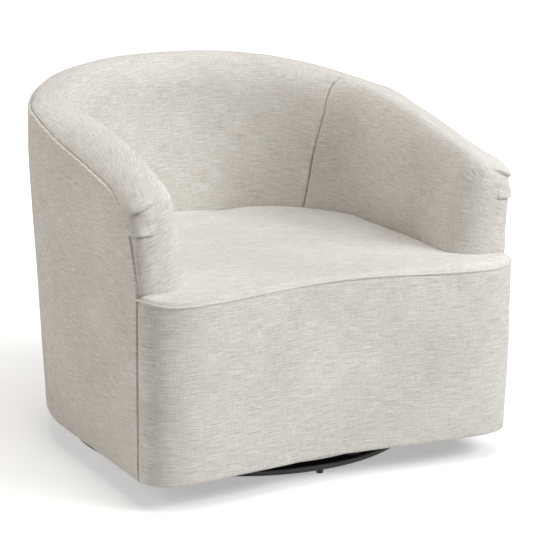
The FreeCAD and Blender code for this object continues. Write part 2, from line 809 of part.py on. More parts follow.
# sections of the rounded arm front: how far forward, and how far its outer side, inner side and top draw in,
# all as shares of its reach
NOSE_SECTIONS = [(-1.4, 0, 0, 0), (-0.2, 0, 0, 0), (0.35, 0.19, 0.67, 0.19),
                 (0.75, 0.48, 1.14, 0.67), (1, 0.95, 1.62, 1.62)]
# how far a cutting form reaches past what it cuts
MARGIN = 10


def roll_section(place, edge, crest, wall_depth, low):
    """A closed section of the padded wall. The place function turns an inset and a height into a point."""
    outer = size("panelThickness") / 4
    middle = size("crestOffset")
    inner = wall_depth - (size("wallThickness") - size("rollWidth"))
    drop = size("rollDrop")
    top = place(middle, crest)
    outer_bend = place(outer + middle * OUTER_BEND[0], edge + (crest - edge) * OUTER_BEND[1])
    inner_bend = place(middle + (inner - middle) * INNER_BEND[0], crest - drop * INNER_BEND[1])
    return Part.Wire([
        Part.makeLine(place(outer, low), place(outer, edge)),
        Part.Arc(place(outer, edge), outer_bend, top).toShape(),
        Part.Arc(top, inner_bend, place(inner, crest - drop)).toShape(),
        Part.makeLine(place(inner, crest - drop), place(wall_depth, low)),
        Part.makeLine(place(wall_depth, low), place(outer, low)),
    ])


def shell_radius(z):
    """Radius of the round back at a height."""
    names = ("skirt", "seat") if z < size("seatSeamHeight") else ("seat", "top")
    low, high = [level_height(name) for name in names]
    small, large = [size(name + "Radius") for name in names]
    return small + (large - small) * (z - low) / (high - low)


def front_half_width(z):
    names = ("skirt", "seat") if z < size("seatSeamHeight") else ("seat", "top")
    low, high = [level_height(name) for name in names]
    small, large = [size(name + "FrontHalfWidth") for name in names]
    return small + (large - small) * (z - low) / (high - low)


def arm_place(side, y):
    centre, front = size("shellCentre"), -size("seatArmFront")

    def place(inset, z):
        share = (centre - y) / (centre - front)
        x = shell_radius(z) + (front_half_width(z) - shell_radius(z)) * share
        return vector(side * (x - inset), y, z)
    return place


def back_place(angle):
    centre, turn = size("shellCentre"), math.radians(angle)

    def place(inset, z):
        radius = shell_radius(z) - inset
        return vector(radius * math.sin(turn), centre + radius * math.cos(turn), z)
    return place


def padded_section(place, y, wall_depth=None):
    return roll_section(place, edge_height(y), crest_height(y), wall_depth or size("wallThickness"), size("seatBase"))


def back_section(angle):
    turn = math.radians(angle)
    y = size("shellCentre") + (size("topRadius") - size("crestOffset")) * math.cos(turn)
    return padded_section(back_place(angle), y)


def arm_front_depth(y):
    """The wall narrows towards the arm's front, where its inner side turns outwards."""
    length, share = FRONT_TURN
    turn_in = size("wallThickness") * length
    start = -size("seatArmFront") + turn_in
    bent = min(1, max(0, (start - y) / turn_in))
    return size("wallThickness") * (1 - share * bent ** 2)


def build_pads():
    trim = shell_form(size("panelThickness"))
    hollow = shell_form(-MARGIN).cut(well_form(size("padInset"))).common(below_edge(size("topRailDrop")))
    seam = size("seamAngle")
    rear = back_wedge(seam)

    last = seam + SEAM_OVERLAP
    angles = [last - number * last / 4 for number in range(9)]
    form = Part.makeLoft([back_section(angle) for angle in angles], True, False)
    keep_shape(form.common(trim).cut(hollow).common(rear), "back_pad")

    front = -size("seatArmFront")
    stations = [front + share * size("wallThickness") for share in ARM_FRONT_SECTIONS] + [front / 2, front / 6]
    step = (ARM_REAR_ANGLE - seam + SEAM_OVERLAP) / 3
    angles = [ARM_REAR_ANGLE - number * step for number in range(4)]
    for name, side in MIRROR_SIDES.items():
        sections = [padded_section(arm_place(side, y), y, arm_front_depth(y)) for y in stations]
        sections += [back_section(side * angle) for angle in angles]
        form = Part.makeLoft(sections, True, False)
        pad_shape = form.common(trim).cut(hollow).cut(front_block()).cut(rear)
        keep_shape(pad_shape, "arm_pad_" + name)
        keep_shape(nose(side).common(front_block()).common(trim), "arm_front_pad_" + name)


def nose(side):
    """The rounded front end of an arm, from inside the front edge to its tip."""
    front, low = -size("seatArmFront"), size("noseBase")
    sections = []
    for shares in NOSE_SECTIONS:
        forward, outer_cut, inner_cut, top_cut = [share * size("noseReach") for share in shares]
        y = front - forward
        place = arm_place(side, y)
        crest, edge = crest_height(front) - top_cut, edge_height(front) - top_cut
        outer, inner = size("panelThickness") + outer_cut, arm_front_depth(y) - inner_cut
        middle = (outer + inner) / 2
        top, knee = place(middle, crest), crest - (inner - middle)
        outer_bend = place(outer + (middle - outer) * OUTER_BEND[0], edge + (crest - edge) * OUTER_BEND[1])
        inner_bend = place(middle + (inner - middle) * INNER_BEND[0], crest - (crest - knee) * INNER_BEND[1])
        sections.append(Part.Wire([
            Part.makeLine(place(outer, low), place(outer, edge)),
            Part.Arc(place(outer, edge), outer_bend, top).toShape(),
            Part.Arc(top, inner_bend, place(inner, knee)).toShape(),
            Part.makeLine(place(inner, knee), place(inner, low)),
            Part.makeLine(place(inner, low), place(outer, low)),
        ]))
    return Part.makeLoft(sections, True, False)


# Outside panels, front border, welt and seat

# where the panels' top front corner is cut back the least, as a share of the corner's length
EDGE_CORNER_BELLY = 0.3


def build_panels():
    low = size("skirtHeight")
    skin = wall(0, size("panelThickness"))
    front = -size("seatArmFront")
    cut = size("edgeCornerLength")
    belly = EDGE_CORNER_BELLY * cut
    corner = side_prism([(front - cut, edge_height(front) - cut), (front, edge_height(front) - cut),
                         (front + belly, edge_height(front) - belly), (front + cut, edge_height(front + cut)),
                         (front + cut, FAR), (front - cut, FAR)])
    skin = skin.common(below_edge(0)).common(slab(low, FAR)).cut(corner)
    rear = back_wedge(size("panelSeamAngle"))
    keep_shape(skin.common(rear), "outside_back_panel")
    for name, side in MIRROR_SIDES.items():
        keep_shape(skin.cut(rear).common(half_space(side)), "outside_arm_panel_" + name)


def build_front():
    thickness = size("borderThickness")
    seam, welt = size("seatSeamHeight"), size("weltHeight")
    border = front_layer(0, thickness).common(slab(size("skirtHeight"), seam - welt / 2))
    keep_shape(border, "front_border")
    strip = front_layer(-size("weltProud"), thickness).common(slab(seam - welt / 2, seam + welt / 2))
    keep_shape(strip, "seat_welt")


def crown_section(y, edge, crown):
    half = size("seatRadius")
    low = size("seatBase")
    corner = [vector(-half, y, low), vector(-half, y, edge), vector(half, y, edge), vector(half, y, low)]
    return Part.Wire([
        Part.makeLine(corner[3], corner[0]),
        Part.makeLine(corner[0], corner[1]),
        Part.Arc(corner[1], vector(0, y, edge + crown), corner[2]).toShape(),
        Part.makeLine(corner[2], corner[3]),
    ])


def build_seat():
    base, seam = size("seatBase"), size("seatSeamHeight")
    top_of_welt = seam + size("weltHeight") / 2
    clearance = size("softClearance")
    ahead = front_block()
    well = well_form(size("wallThickness") + clearance).cut(ahead)
    lower = shell_form(size("borderThickness") + clearance).common(ahead).common(slab(base, top_of_welt))
    upper = shell_form(size("seatInset")).common(ahead).common(slab(top_of_welt, FAR))
    plan = well.common(slab(base, FAR)).fuse([lower, upper]).removeSplitter()
    front, back = size("seatBorderFront"), size("seatRadius") + size("shellCentre")
    rise, fall, crown = size("seatFrontRise"), size("seatRearFall"), size("seatCrown")
    # from front to back: the place, the height at the sides and the crown in the middle
    rows = [(-front - MARGIN, seam + rise / 4, crown), (-front + size("seatFrontBend"), seam + rise, crown),
            (-front / 2, seam + rise, crown), (0, seam + rise, 0.7 * crown),
            (back / 2, seam + rise / 3, 0.6 * crown), (back, seam - fall, crown / 2)]
    form = Part.makeLoft([crown_section(y, edge, bulge) for y, edge, bulge in rows], True, False)
    keep_shape(plan.common(form), "seat_pad")


def check_parts():
    for item in doc.Objects:
        if "Invalid" in item.State or "Error" in item.State:
            raise RuntimeError(f"{item.Label}: {item.State}")
    for item in parts:
        shape = item.Shape
        if shape.isNull() or not shape.isValid() or not shape.Solids:
            raise RuntimeError(f"{item.Label} has no valid shape")


build_ring()
build_rail("rail_left", 1)
build_rail("rail_right", -1)
for glide in glide_numbers():
    build_glide(glide)
build_plate("lower_plate", "railTop", "Sizes.pinDiameter")
build_plate("upper_plate", "upperPlateBottom", "Sizes.pinDiameter + 2 * Sizes.runningClearance")
build_pin()
build_bearing()
build_bolts()
build_frame()
build_board()
build_springs()
build_cloths()
build_pads()
build_panels()
build_front()
build_seat()
doc.recompute()
check_parts()

os.makedirs("parts", exist_ok=True)
for item in parts:
    item.Shape.exportStep(f"parts/{item.Label}.step")
print(len(parts), "sub-parts written")
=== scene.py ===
import json
import math

import bmesh
import bpy
import numpy as np
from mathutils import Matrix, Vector


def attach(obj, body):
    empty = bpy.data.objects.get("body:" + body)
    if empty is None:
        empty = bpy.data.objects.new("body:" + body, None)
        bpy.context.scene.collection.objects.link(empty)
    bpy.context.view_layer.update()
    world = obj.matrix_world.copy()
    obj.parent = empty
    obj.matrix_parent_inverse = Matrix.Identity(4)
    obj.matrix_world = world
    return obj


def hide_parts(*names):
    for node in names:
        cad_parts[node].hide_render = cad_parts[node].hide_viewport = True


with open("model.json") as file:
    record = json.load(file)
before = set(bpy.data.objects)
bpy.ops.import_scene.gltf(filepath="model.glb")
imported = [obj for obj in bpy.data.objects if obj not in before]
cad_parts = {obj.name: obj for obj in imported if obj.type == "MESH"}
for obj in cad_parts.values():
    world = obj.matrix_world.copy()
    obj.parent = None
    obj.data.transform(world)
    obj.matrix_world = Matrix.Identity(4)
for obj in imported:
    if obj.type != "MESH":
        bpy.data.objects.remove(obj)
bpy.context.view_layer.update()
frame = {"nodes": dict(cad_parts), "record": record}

# Swivel barrel chair. Shapes are worked out in millimetres and made in metres.
# The seat faces -Y, +X is the sitter's left, +Z is up.
mm = 0.001
print("frame loaded:", len(frame["nodes"]), "nodes")


# small helpers for numbers

def smoothStep(low, high, value):
    share = np.clip((value - low) / (high - low), 0, 1)
    return share * share * (3 - 2 * share)


def blend(first, second, share):
    return first + (second - first) * share


def throughPoints(*pairs):
    # a smooth curve through (place, value) pairs that never overshoots them
    places, values = np.array(pairs, float).T
    steps = np.diff(values) / np.diff(places)
    slopes = np.concatenate([[steps[0]], np.zeros(len(steps) - 1), [steps[-1]]])
    for index in range(1, len(steps)):
        before, after = steps[index - 1], steps[index]
        if before * after > 0:
            slopes[index] = 2 * before * after / (before + after)

    def curve(place):
        place = np.clip(place, places[0], places[-1])
        index = np.clip(np.searchsorted(places, place) - 1, 0, len(places) - 2)
        width = places[index + 1] - places[index]
        share = (place - places[index]) / width
        rest = 1 - share
        return ((1 + 2 * share) * rest ** 2 * values[index] + share * rest ** 2 * width * slopes[index]
                + share ** 2 * (3 - 2 * share) * values[index + 1] - share ** 2 * rest * width * slopes[index + 1])
    return curve


waveCount, waveScale = 10, 3.2


def waves(points, length, seed):
    # smooth unevenness from about -1 to 1, with bumps about as long as length
    draw = np.random.default_rng(seed)
    total = np.zeros(len(points))
    for _ in range(waveCount):
        direction = draw.normal(size=3)
        direction /= np.linalg.norm(direction)
        pace = 2 * math.pi / (length * draw.uniform(0.8, 1.7))
        total += np.sin(points @ direction * pace + draw.uniform(0, 2 * math.pi))
    return total / waveScale


def unevenness(points, layers, seedShift=0):
    # waves of several heights and lengths, each layer with its own seed
    return sum(height * waves(points, length, seed + seedShift) for height, length, seed in layers)


def roundOver(distance, radius):
    # how deep a rounded edge lies at a distance from it
    share = 1 - np.clip(distance / radius, 0, 1)
    return radius * (1 - np.sqrt(np.clip(1 - share ** 2, 0, 1)))


# outer form of the chair, the same as the CAD model's

shell = {
    "centreY": 18.7, "skirtZ": 49, "seatZ": 376,
    "sideX": 378.5, "sideFlare": 0.044,
    "backY": 380.5, "backFlare": 0.036, "backFullness": 0.010,
    "frontX": 380.5, "lowFlare": 0.002, "highFlare": 0.056,
    "armFrontY": -342.8, "armLean": 0.024,
    "borderY": -408.5, "borderLean": 0.033,
    "cornerWidth": 101.4, "cornerFullness": 2.67,
    "hollow": 25.8, "hollowReach": 323.8,
    "quarterLength": 617, "armLength": 370,  # a station counts along the plan from the middle of the back
}
skirtZ, seatZ = shell["skirtZ"], shell["seatZ"]
quarterLength, armLength = shell["quarterLength"], shell["armLength"]


def frontHalfWidth(z):
    low = shell["lowFlare"] * (np.minimum(z, seatZ) - skirtZ)
    return shell["frontX"] + low + shell["highFlare"] * np.maximum(z - seatZ, 0)


def armFront(z):
    return shell["armFrontY"] - shell["armLean"] * (z - skirtZ)


def planPoint(station, z):
    rise = z - skirtZ
    sideX = shell["sideX"] + shell["sideFlare"] * rise
    backY = shell["backY"] + shell["backFlare"] * rise
    distance = np.abs(station)
    turn = np.minimum(distance / quarterLength, 1) * math.pi / 2
    fullness = 1 + shell["backFullness"] * np.sin(2 * turn) ** 2
    ahead = np.maximum(distance - quarterLength, 0) / armLength
    onArm = ahead > 0
    x = np.where(onArm, blend(sideX, frontHalfWidth(z), ahead ** 2), sideX * np.sin(turn) * fullness)
    y = np.where(onArm, -ahead * (shell["centreY"] - armFront(z)), backY * np.cos(turn) * fullness)
    return np.sign(station) * x, shell["centreY"] + y


def squareTo(x, y, z, runX, runY, inset):
    # points at an inset from a line, square to its run
    length = np.hypot(runX, runY)
    return np.stack([x + inset * runY / length, y - inset * runX / length, z], axis=-1)


def place(station, inset, z):
    # points at an inset from the outer form, square to it
    station, inset, z = np.broadcast_arrays(np.asarray(station, float), inset, z)
    x, y = planPoint(station, z)
    beforeX, beforeY = planPoint(station - 1, z)
    afterX, afterY = planPoint(station + 1, z)
    return squareTo(x, y, z, afterX - beforeX, afterY - beforeY, inset)


def stationAt(y, z):
    # station of a point of the arm
    return quarterLength + (shell["centreY"] - y) / (shell["centreY"] - armFront(z)) * armLength


# by station: heights of the panels' edge and of the padded crest, inset of the crest, and lean of the outer side
edgeHeight = throughPoints((0, 690), (222, 685), (335, 673), (440, 657), (500, 650), (546, 646), (600, 634), (679, 613),
                           (742, 600), (794, 589), (851, 575), (885, 567), (917, 558), (944, 550), (987, 538),
                           (1020, 530))
crestHeight = throughPoints((0, 713.5), (120, 712), (222, 706), (300, 696.5), (399, 680.5), (500, 665), (620, 655),
                            (720, 641), (820, 619), (900, 597), (960, 582), (1020, 574))
crestInset = throughPoints((0, 60), (400, 64), (617, 82), (800, 84), (900, 76), (960, 64), (1020, 60))
lean = {"back": 1.5, "more": 2, "grows": (220, 430), "ends": (840, 960)}


def leanInset(station):
    # the outer side leans in towards the panels' edge, less at the back and not at all at the arm's front
    return ((lean["back"] + lean["more"] * smoothStep(*lean["grows"], station))
            * (1 - smoothStep(*lean["ends"], station)))


# meshes

def newObject(name, data):
    made = bpy.data.objects.new(name, data)
    bpy.context.scene.collection.objects.link(made)
    return made


def newPiece(name, points, faces):
    mesh = bpy.data.meshes.new(name)
    mesh.from_pydata((np.asarray(points, float).reshape(-1, 3) * mm).tolist(), [], faces)
    return newObject(name, mesh)


def vectorsOf(piece, what):
    vectors = np.zeros(len(piece.data.vertices) * 3)
    piece.data.vertices.foreach_get(what, vectors)
    return vectors.reshape(-1, 3)


def pointsOf(piece):
    return vectorsOf(piece, "co") / mm


def movePoints(piece, points):
    piece.data.vertices.foreach_set("co", (points * mm).ravel())
    piece.data.update()


def notedValues(piece, *names):
    found = []
    for name in names:
        found.append(np.zeros(len(piece.data.vertices), np.float32))
        piece.data.attributes[name].data.foreach_get("value", found[-1])
    return [values.astype(float) for values in found]


def thereAndBack(first, second):
    return np.concatenate([first, second[:, ::-1]], axis=1)


def closedLoops(name, rings, caps=True, **values):
    # rings of points; the second half of each ring runs back beside the first, so that its ends close in strips
    # the values are kept at every point, so that they're still there on the finer mesh
    rings = np.asarray(rings, float)
    count, size = rings.shape[:2]
    faces = []
    for row in range(count - 1 if caps else count):
        for column in range(size):
            following = (column + 1) % size
            nextRow = (row + 1) % count
            faces.append((row * size + column, row * size + following,
                          nextRow * size + following, nextRow * size + column))
    if caps:
        for first in (0, (count - 1) * size):
            for column in range(size // 2 - 1):
                faces.append((first + column, first + column + 1,
                              first + size - 2 - column, first + size - 1 - column))
    piece = newPiece(name, rings, faces)
    for valueName, value in values.items():
        attribute = piece.data.attributes.new(valueName, "FLOAT", "POINT")
        attribute.data.foreach_set("value", np.broadcast_to(value, (count, size)).astype(np.float32).ravel())
    faceOutwards(piece)
    return piece


def faceOutwards(piece, merge=False):
    shape = bmesh.new()
    shape.from_mesh(piece.data)
    if merge:
        bmesh.ops.remove_doubles(shape, verts=shape.verts, dist=1e-6)
    bmesh.ops.recalc_face_normals(shape, faces=shape.faces)
    shape.to_mesh(piece.data)
    shape.free()


def applyModifiers(piece):
    bpy.ops.object.select_all(action="DESELECT")
    piece.select_set(True)
    bpy.context.view_layer.objects.active = piece
    for modifier in list(piece.modifiers):
        bpy.ops.object.modifier_apply(modifier=modifier.name)


def subdivide(piece, levels=1):
    modifier = piece.modifiers.new("Subdivision", "SUBSURF")
    modifier.levels = modifier.render_levels = levels
    applyModifiers(piece)


def raiseSurface(piece, heights):
    # moves every point along its normal
    movePoints(piece, pointsOf(piece) + vectorsOf(piece, "normal") * np.asarray(heights)[:, None])


def layFabric(piece, along, down):
    # UV map in metres of cloth: along runs with the weft, down with the warp
    layer = piece.data.uv_layers.new(name="cloth")
    corners = np.zeros(len(piece.data.loops), int)
    piece.data.loops.foreach_get("vertex_index", corners)
    layer.data.foreach_set("uv", (np.stack([along[corners], down[corners]], axis=-1) * mm).ravel())


def finishPiece(piece, nodes, slot="linen"):
    for attribute in [a.name for a in piece.data.attributes if a.data_type == "FLOAT" and a.domain == "POINT"]:
        piece.data.attributes.remove(piece.data.attributes[attribute])
    piece.data.polygons.foreach_set("use_smooth", [True] * len(piece.data.polygons))
    piece.data.update()
    clothe(piece, slot)
    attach(piece, "chair")
    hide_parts(*nodes)
    print("made", piece.name, len(piece.data.polygons), "faces")


def clothe(piece, slot):
    piece.data.materials.clear()
    piece.data.materials.append(slotMaterials[slot])


# materials

class NodeDesk:
    # a short way to add and join nodes in one tree
    def __init__(self, tree):
        self.tree = tree

    def add(self, kind, inputs=None, **settings):
        node = self.tree.nodes.new(kind)
        for name, value in settings.items():
            setattr(node, name, value)
        for name, value in (inputs or {}).items():
            self.feed(node.inputs[name], value)
        return node

    def feed(self, socket, value):
        if isinstance(value, bpy.types.NodeSocket):
            self.tree.links.new(value, socket)
        else:
            socket.default_value = value

    def maths(self, operation, first, second=0.0, third=0.0):
        return self.add("ShaderNodeMath", {0: first, 1: second, 2: third}, operation=operation).outputs[0]

    def scaled(self, vector, factors):
        return self.add("ShaderNodeVectorMath", {0: vector, 1: factors}, operation="MULTIPLY").outputs[0]

    def noise(self, vector, detail=2.0, roughness=0.5, scale=1.0):
        return self.add("ShaderNodeTexNoise", {"Vector": vector, "Scale": scale, "Detail": detail,
                                               "Roughness": roughness}).outputs["Fac"]

    def mixed(self, share, first, second):
        return self.add("ShaderNodeMix", {0: share, 6: (*first, 1), 7: (*second, 1)}, data_type="RGBA").outputs[2]

    def summed(self, first, second, share):
        return self.maths("MULTIPLY_ADD", first, share, self.maths("MULTIPLY", second, 1 - share))

    def seenBy(self, *kinds):
        # 1 for rays of these kinds
        path = self.add("ShaderNodeLightPath").outputs
        seen = path[f"Is {kinds[0]} Ray"]
        for kind in kinds[1:]:
            seen = self.maths("MAXIMUM", seen, path[f"Is {kind} Ray"])
        return seen

    def ranged(self, value, low, high, toLow, toHigh):
        return self.add("ShaderNodeMapRange", {"Value": value, "From Min": low, "From Max": high,
                                               "To Min": toLow, "To Max": toHigh}).outputs["Result"]


def newGroup(name, inputs, outputs):
    tree = bpy.data.node_groups.new(name, "ShaderNodeTree")
    for socketName, kind in inputs.items():
        tree.interface.new_socket(name=socketName, in_out="INPUT", socket_type="NodeSocket" + kind)
    for socketName in outputs:
        tree.interface.new_socket(name=socketName, in_out="OUTPUT", socket_type="NodeSocketFloat")
    return NodeDesk(tree), tree.nodes.new("NodeGroupInput").outputs, tree.nodes.new("NodeGroupOutput").inputs


weave = {
    # long and short slubs of both threads, per metre, with the share of the long ones
    "weft": ((24, 760, 1), (75, 1500, 1)), "weftLong": 0.62,
    "warp": ((800, 30, 1), (1500, 85, 1)), "warpLong": 0.5,
    "weftShare": 0.66, "slubRoughness": 0.6,
    "bright": (45, 1000, 1), "brightFrom": 0.6, "brightTo": 0.78, "brightTone": 0.1,  # single lighter threads
    "crossingTone": 0.035, "crossingHeight": 0.16,
}


def makeWeaveGroup():
    # plain weave with slubs. Tone is the threads' lightness, Height their relief, both about 0.5
    desk, given, result = newGroup("weave", {"Vector": "Vector", "Threads": "Float", "Slubs": "Float"},
                                   ("Tone", "Height"))
    cloth = given["Vector"]
    weft, warp = (
        desk.summed(*(desk.noise(desk.scaled(cloth, scale), 2, weave["slubRoughness"]) for scale in weave[thread]),
                    share=weave[thread + "Long"]) for thread in ("weft", "warp"))
    bright = desk.ranged(desk.noise(desk.scaled(cloth, weave["bright"]), 1, 0.5),
                         weave["brightFrom"], weave["brightTo"], 0.0, weave["brightTone"])
    split = desk.add("ShaderNodeSeparateXYZ", {"Vector": cloth})
    pace = desk.maths("MULTIPLY", given["Threads"], 3.1416)
    warpWave, weftWave = (desk.maths("SINE", desk.maths("MULTIPLY", split.outputs[axis], pace)) for axis in "XY")
    crossing = desk.maths("MULTIPLY", warpWave, weftWave)
    slubs = desk.maths("ADD", desk.summed(weft, warp, weave["weftShare"]), bright)
    spread = desk.maths("MULTIPLY_ADD", desk.maths("SUBTRACT", slubs, 0.5), given["Slubs"], 0.5)
    desk.feed(result["Tone"], desk.maths("MULTIPLY_ADD", crossing, weave["crossingTone"], spread))
    desk.feed(result["Height"], desk.maths("MULTIPLY_ADD", crossing, weave["crossingHeight"], spread))
    return desk.tree


def makeSpeckGroup():
    # fine grain of powder coat, plating and moulded plastic
    desk, given, result = newGroup("speck", {"Vector": "Vector", "Size": "Float"}, ("Fine", "Broad"))
    desk.feed(result["Fine"], desk.noise(given["Vector"], scale=desk.maths("DIVIDE", 1.0, given["Size"])))
    desk.feed(result["Broad"], desk.noise(given["Vector"], 4, scale=14))
    return desk.tree


def makeGrainGroup():
    # long fibres of sawn wood, drawn wire and webbing: noise stretched along one axis
    desk, given, result = newGroup("grain", {"Vector": "Vector", "Stretch": "Vector"}, ("Fibre", "Figure"))
    stretched = desk.scaled(given["Vector"], given["Stretch"])
    desk.feed(result["Fibre"], desk.noise(stretched, 4, 0.65))
    desk.feed(result["Figure"], desk.noise(desk.scaled(stretched, (0.12, 0.12, 0.12)), 3, 0.5))
    return desk.tree


weaveGroup, speckGroup, grainGroup = makeWeaveGroup(), makeSpeckGroup(), makeGrainGroup()


def newMaterial(name, roughness, **sockets):
    material = bpy.data.materials.new(name)
    material.use_nodes = True
    material.node_tree.nodes.clear()
    desk = NodeDesk(material.node_tree)
    shader = desk.add("ShaderNodeBsdfPrincipled", {"Roughness": roughness})
    for socket, value in sockets.items():
        shader.inputs[socket.replace("_", " ")].default_value = value
    out = desk.add("ShaderNodeOutputMaterial")
    desk.feed(out.inputs["Surface"], shader.outputs[0])
    return material, desk, shader


def addBump(desk, shader, height, strength, distance):
    bump = desk.add("ShaderNodeBump", {"Height": height, "Strength": strength, "Distance": distance})
    desk.feed(shader.inputs["Normal"], bump.outputs[0])


linen = {
    "dark": (0.40, 0.36, 0.305), "light": (0.965, 0.955, 0.93),
    "slubs": 1.0, "threads": 1500.0,  # threads per metre
    "bump": 0.35, "bumpDepth": 0.0007, "sheen": 0.12,
    "patches": (5, 7, 1), "patchShare": 0.13,  # slow changes of lightness, per metre
    "darkTone": 0.33, "lightTone": 0.69,
}


def makeLinen():
    material, desk, shader = newMaterial("linen", 0.92, Sheen_Weight=linen["sheen"], Sheen_Roughness=0.6,
                                         Specular_IOR_Level=0.2)
    cloth = desk.add("ShaderNodeUVMap", uv_map="cloth").outputs[0]
    woven = desk.add("ShaderNodeGroup", {"Vector": cloth, "Threads": linen["threads"], "Slubs": linen["slubs"]},
                     node_tree=weaveGroup)
    patches = desk.noise(desk.scaled(cloth, linen["patches"]), 3, 0.5)
    tone = desk.maths("MULTIPLY_ADD", desk.maths("SUBTRACT", patches, 0.5), linen["patchShare"], woven.outputs["Tone"])
    share = desk.ranged(tone, linen["darkTone"], linen["lightTone"], 0.0, 1.0)
    desk.feed(shader.inputs["Base Color"], desk.mixed(share, linen["dark"], linen["light"]))
    addBump(desk, shader, woven.outputs["Height"], linen["bump"], linen["bumpDepth"])
    return material


def makeCoated(name, colour, roughness, size, metallic=0.0, bump=0.15, wear=0.25, **sockets):
    # painted, plated and moulded surfaces: a little uneven in colour and gloss
    material, desk, shader = newMaterial(name, roughness, Metallic=metallic, **sockets)
    where = desk.add("ShaderNodeTexCoord").outputs["Object"]
    speck = desk.add("ShaderNodeGroup", {"Vector": where, "Size": size}, node_tree=speckGroup)
    broad = speck.outputs["Broad"]
    light = [min(1, c * (1 + wear) + 0.004) for c in colour]
    dark = [c * (1 - wear * 0.6) for c in colour]
    desk.feed(shader.inputs["Base Color"], desk.mixed(desk.ranged(broad, 0.3, 0.7, 0, 1), dark, light))
    desk.feed(shader.inputs["Roughness"], desk.ranged(broad, 0.25, 0.75, roughness - 0.07, roughness + 0.09))
    addBump(desk, shader, speck.outputs["Fine"], bump, 0.0002)
    return material


def makeFibrous(name, dark, light, roughness, stretch, bump=0.3, metallic=0.0):
    # sawn wood, drawn wire and webbing
    material, desk, shader = newMaterial(name, roughness, Metallic=metallic)
    where = desk.add("ShaderNodeTexCoord").outputs["Object"]
    grain = desk.add("ShaderNodeGroup", {"Vector": where, "Stretch": stretch}, node_tree=grainGroup)
    fibre = grain.outputs["Fibre"]
    tone = desk.summed(fibre, grain.outputs["Figure"], 0.55)
    desk.feed(shader.inputs["Base Color"], desk.mixed(desk.ranged(tone, 0.32, 0.68, 0, 1), dark, light))
    desk.feed(shader.inputs["Roughness"], desk.ranged(fibre, 0.3, 0.7, roughness - 0.1, roughness + 0.08))
    addBump(desk, shader, fibre, bump, 0.0005)
    return material


slotMaterials = {
    "linen": makeLinen(),
    "black_steel": makeCoated("blackSteel", (0.012, 0.012, 0.013), 0.36, 0.0007, bump=0.2, Specular_IOR_Level=0.6),
    "zinc_steel": makeCoated("zincSteel", (0.60, 0.60, 0.57), 0.34, 0.0012, metallic=1.0, bump=0.1, wear=0.12),
    "glide_plastic": makeCoated("glidePlastic", (0.03, 0.03, 0.031), 0.5, 0.0009),
    "spring_steel": makeFibrous("springSteel", (0.20, 0.20, 0.21), (0.42, 0.42, 0.43), 0.36, (350, 350, 60), 0.1, 1.0),
    "timber": makeFibrous("timber", (0.42, 0.27, 0.14), (0.66, 0.49, 0.31), 0.72, (26, 26, 300)),
    "webbing": makeFibrous("webbing", (0.30, 0.25, 0.19), (0.50, 0.44, 0.35), 0.85, (90, 90, 900), 0.5),
    "dust_cloth": makeFibrous("dustCloth", (0.012, 0.012, 0.013), (0.032, 0.032, 0.034), 0.9, (420, 420, 420), 0.4),
}
print("materials made")


# padded inside of the arms and the back: one section, swept along the plan

wallPad = {
    # hidden start behind the outside panel, deeper where it shows at the arm's front
    "lipInset": 8, "lipFront": 3.6, "lipDepth": 14, "lipFall": 34, "lipShows": (90, 50),
    # the roll grows from the back to the arms and shrinks again to the front
    "rollBack": 104, "rollInset": 113, "rollFront": 12, "rollDrop": 76,
    "rollGrows": (450, 617), "rollShrinks": (820, 940),
    "fullBack": 0.88, "fullArm": 0.36, "fullTurns": (400, 700),  # how round the outer side of the roll is
    "footInset": 104, "footFront": 10, "footTurns": (170, 40), "faceCurve": 1.3, "faceFront": 0.7,
    "seatTop": 383, "footZ": 309,
    "webInset": 54, "railDrop": 16,  # hidden side, along the webbing and under the roll
    "lipRows": 3, "outerRows": 12, "rollRows": 16, "faceRows": 34, "footRows": 5,
    "backSpacing": 9, "backGather": 400, "backWeft": 0.8, "backWaves": ((0.7, 150, 11), (0.22, 45, 12)), "backSeed": 3,
    "armRings": 66, "armGather": 560, "armWaves": ((0.7, 140, 21), (0.22, 45, 25)), "armSeed": 5,
    # seam between back and arm: angles from the middle of the back, and its relief
    "lipAngle": 67.5, "crestAngle": 68.5, "crestZ": 668,
    "faceAngles": ((383, 54.8), (439, 56.9), (480, 58.2), (520, 60), (559, 62.3), (608, 65.2)),
    "seamGroove": 0.7, "seamRound": 2.0, "seamLap": 0.8, "ridgeHeight": 0.5, "ridgeGap": 8, "ridgeWidth": 5,
    "puckerHeight": 0.35, "puckerSpacing": 17, "puckerReach": 14,
}


def sectionRows():
    # kind and share of every row of the section's visible half
    rows = []
    for kind in ("lip", "outer", "roll", "face", "foot"):
        count = wallPad[kind + "Rows"]
        last = kind == "foot"
        rows += [(kind, number / (count - 1 if last else count)) for number in range(count)]
    return rows


def sectionSeamAngles():
    # angle of the seam between back and arm at every row, from the middle of the back
    pad = wallPad
    faceAngle = throughPoints(*pad["faceAngles"])
    rollEnd = pad["crestZ"] - pad["rollDrop"]
    angles = []
    for kind, share in sectionRows():
        turn = math.sin(share * math.pi / 2)
        angles.append({
            "lip": pad["lipAngle"],
            "outer": blend(pad["lipAngle"], pad["crestAngle"], turn),
            "roll": blend(pad["crestAngle"], float(faceAngle(rollEnd)), turn),
            "face": float(faceAngle(blend(rollEnd, pad["seatTop"], share))),
            "foot": float(faceAngle(pad["seatTop"])),
        }[kind])
    return np.array(angles)


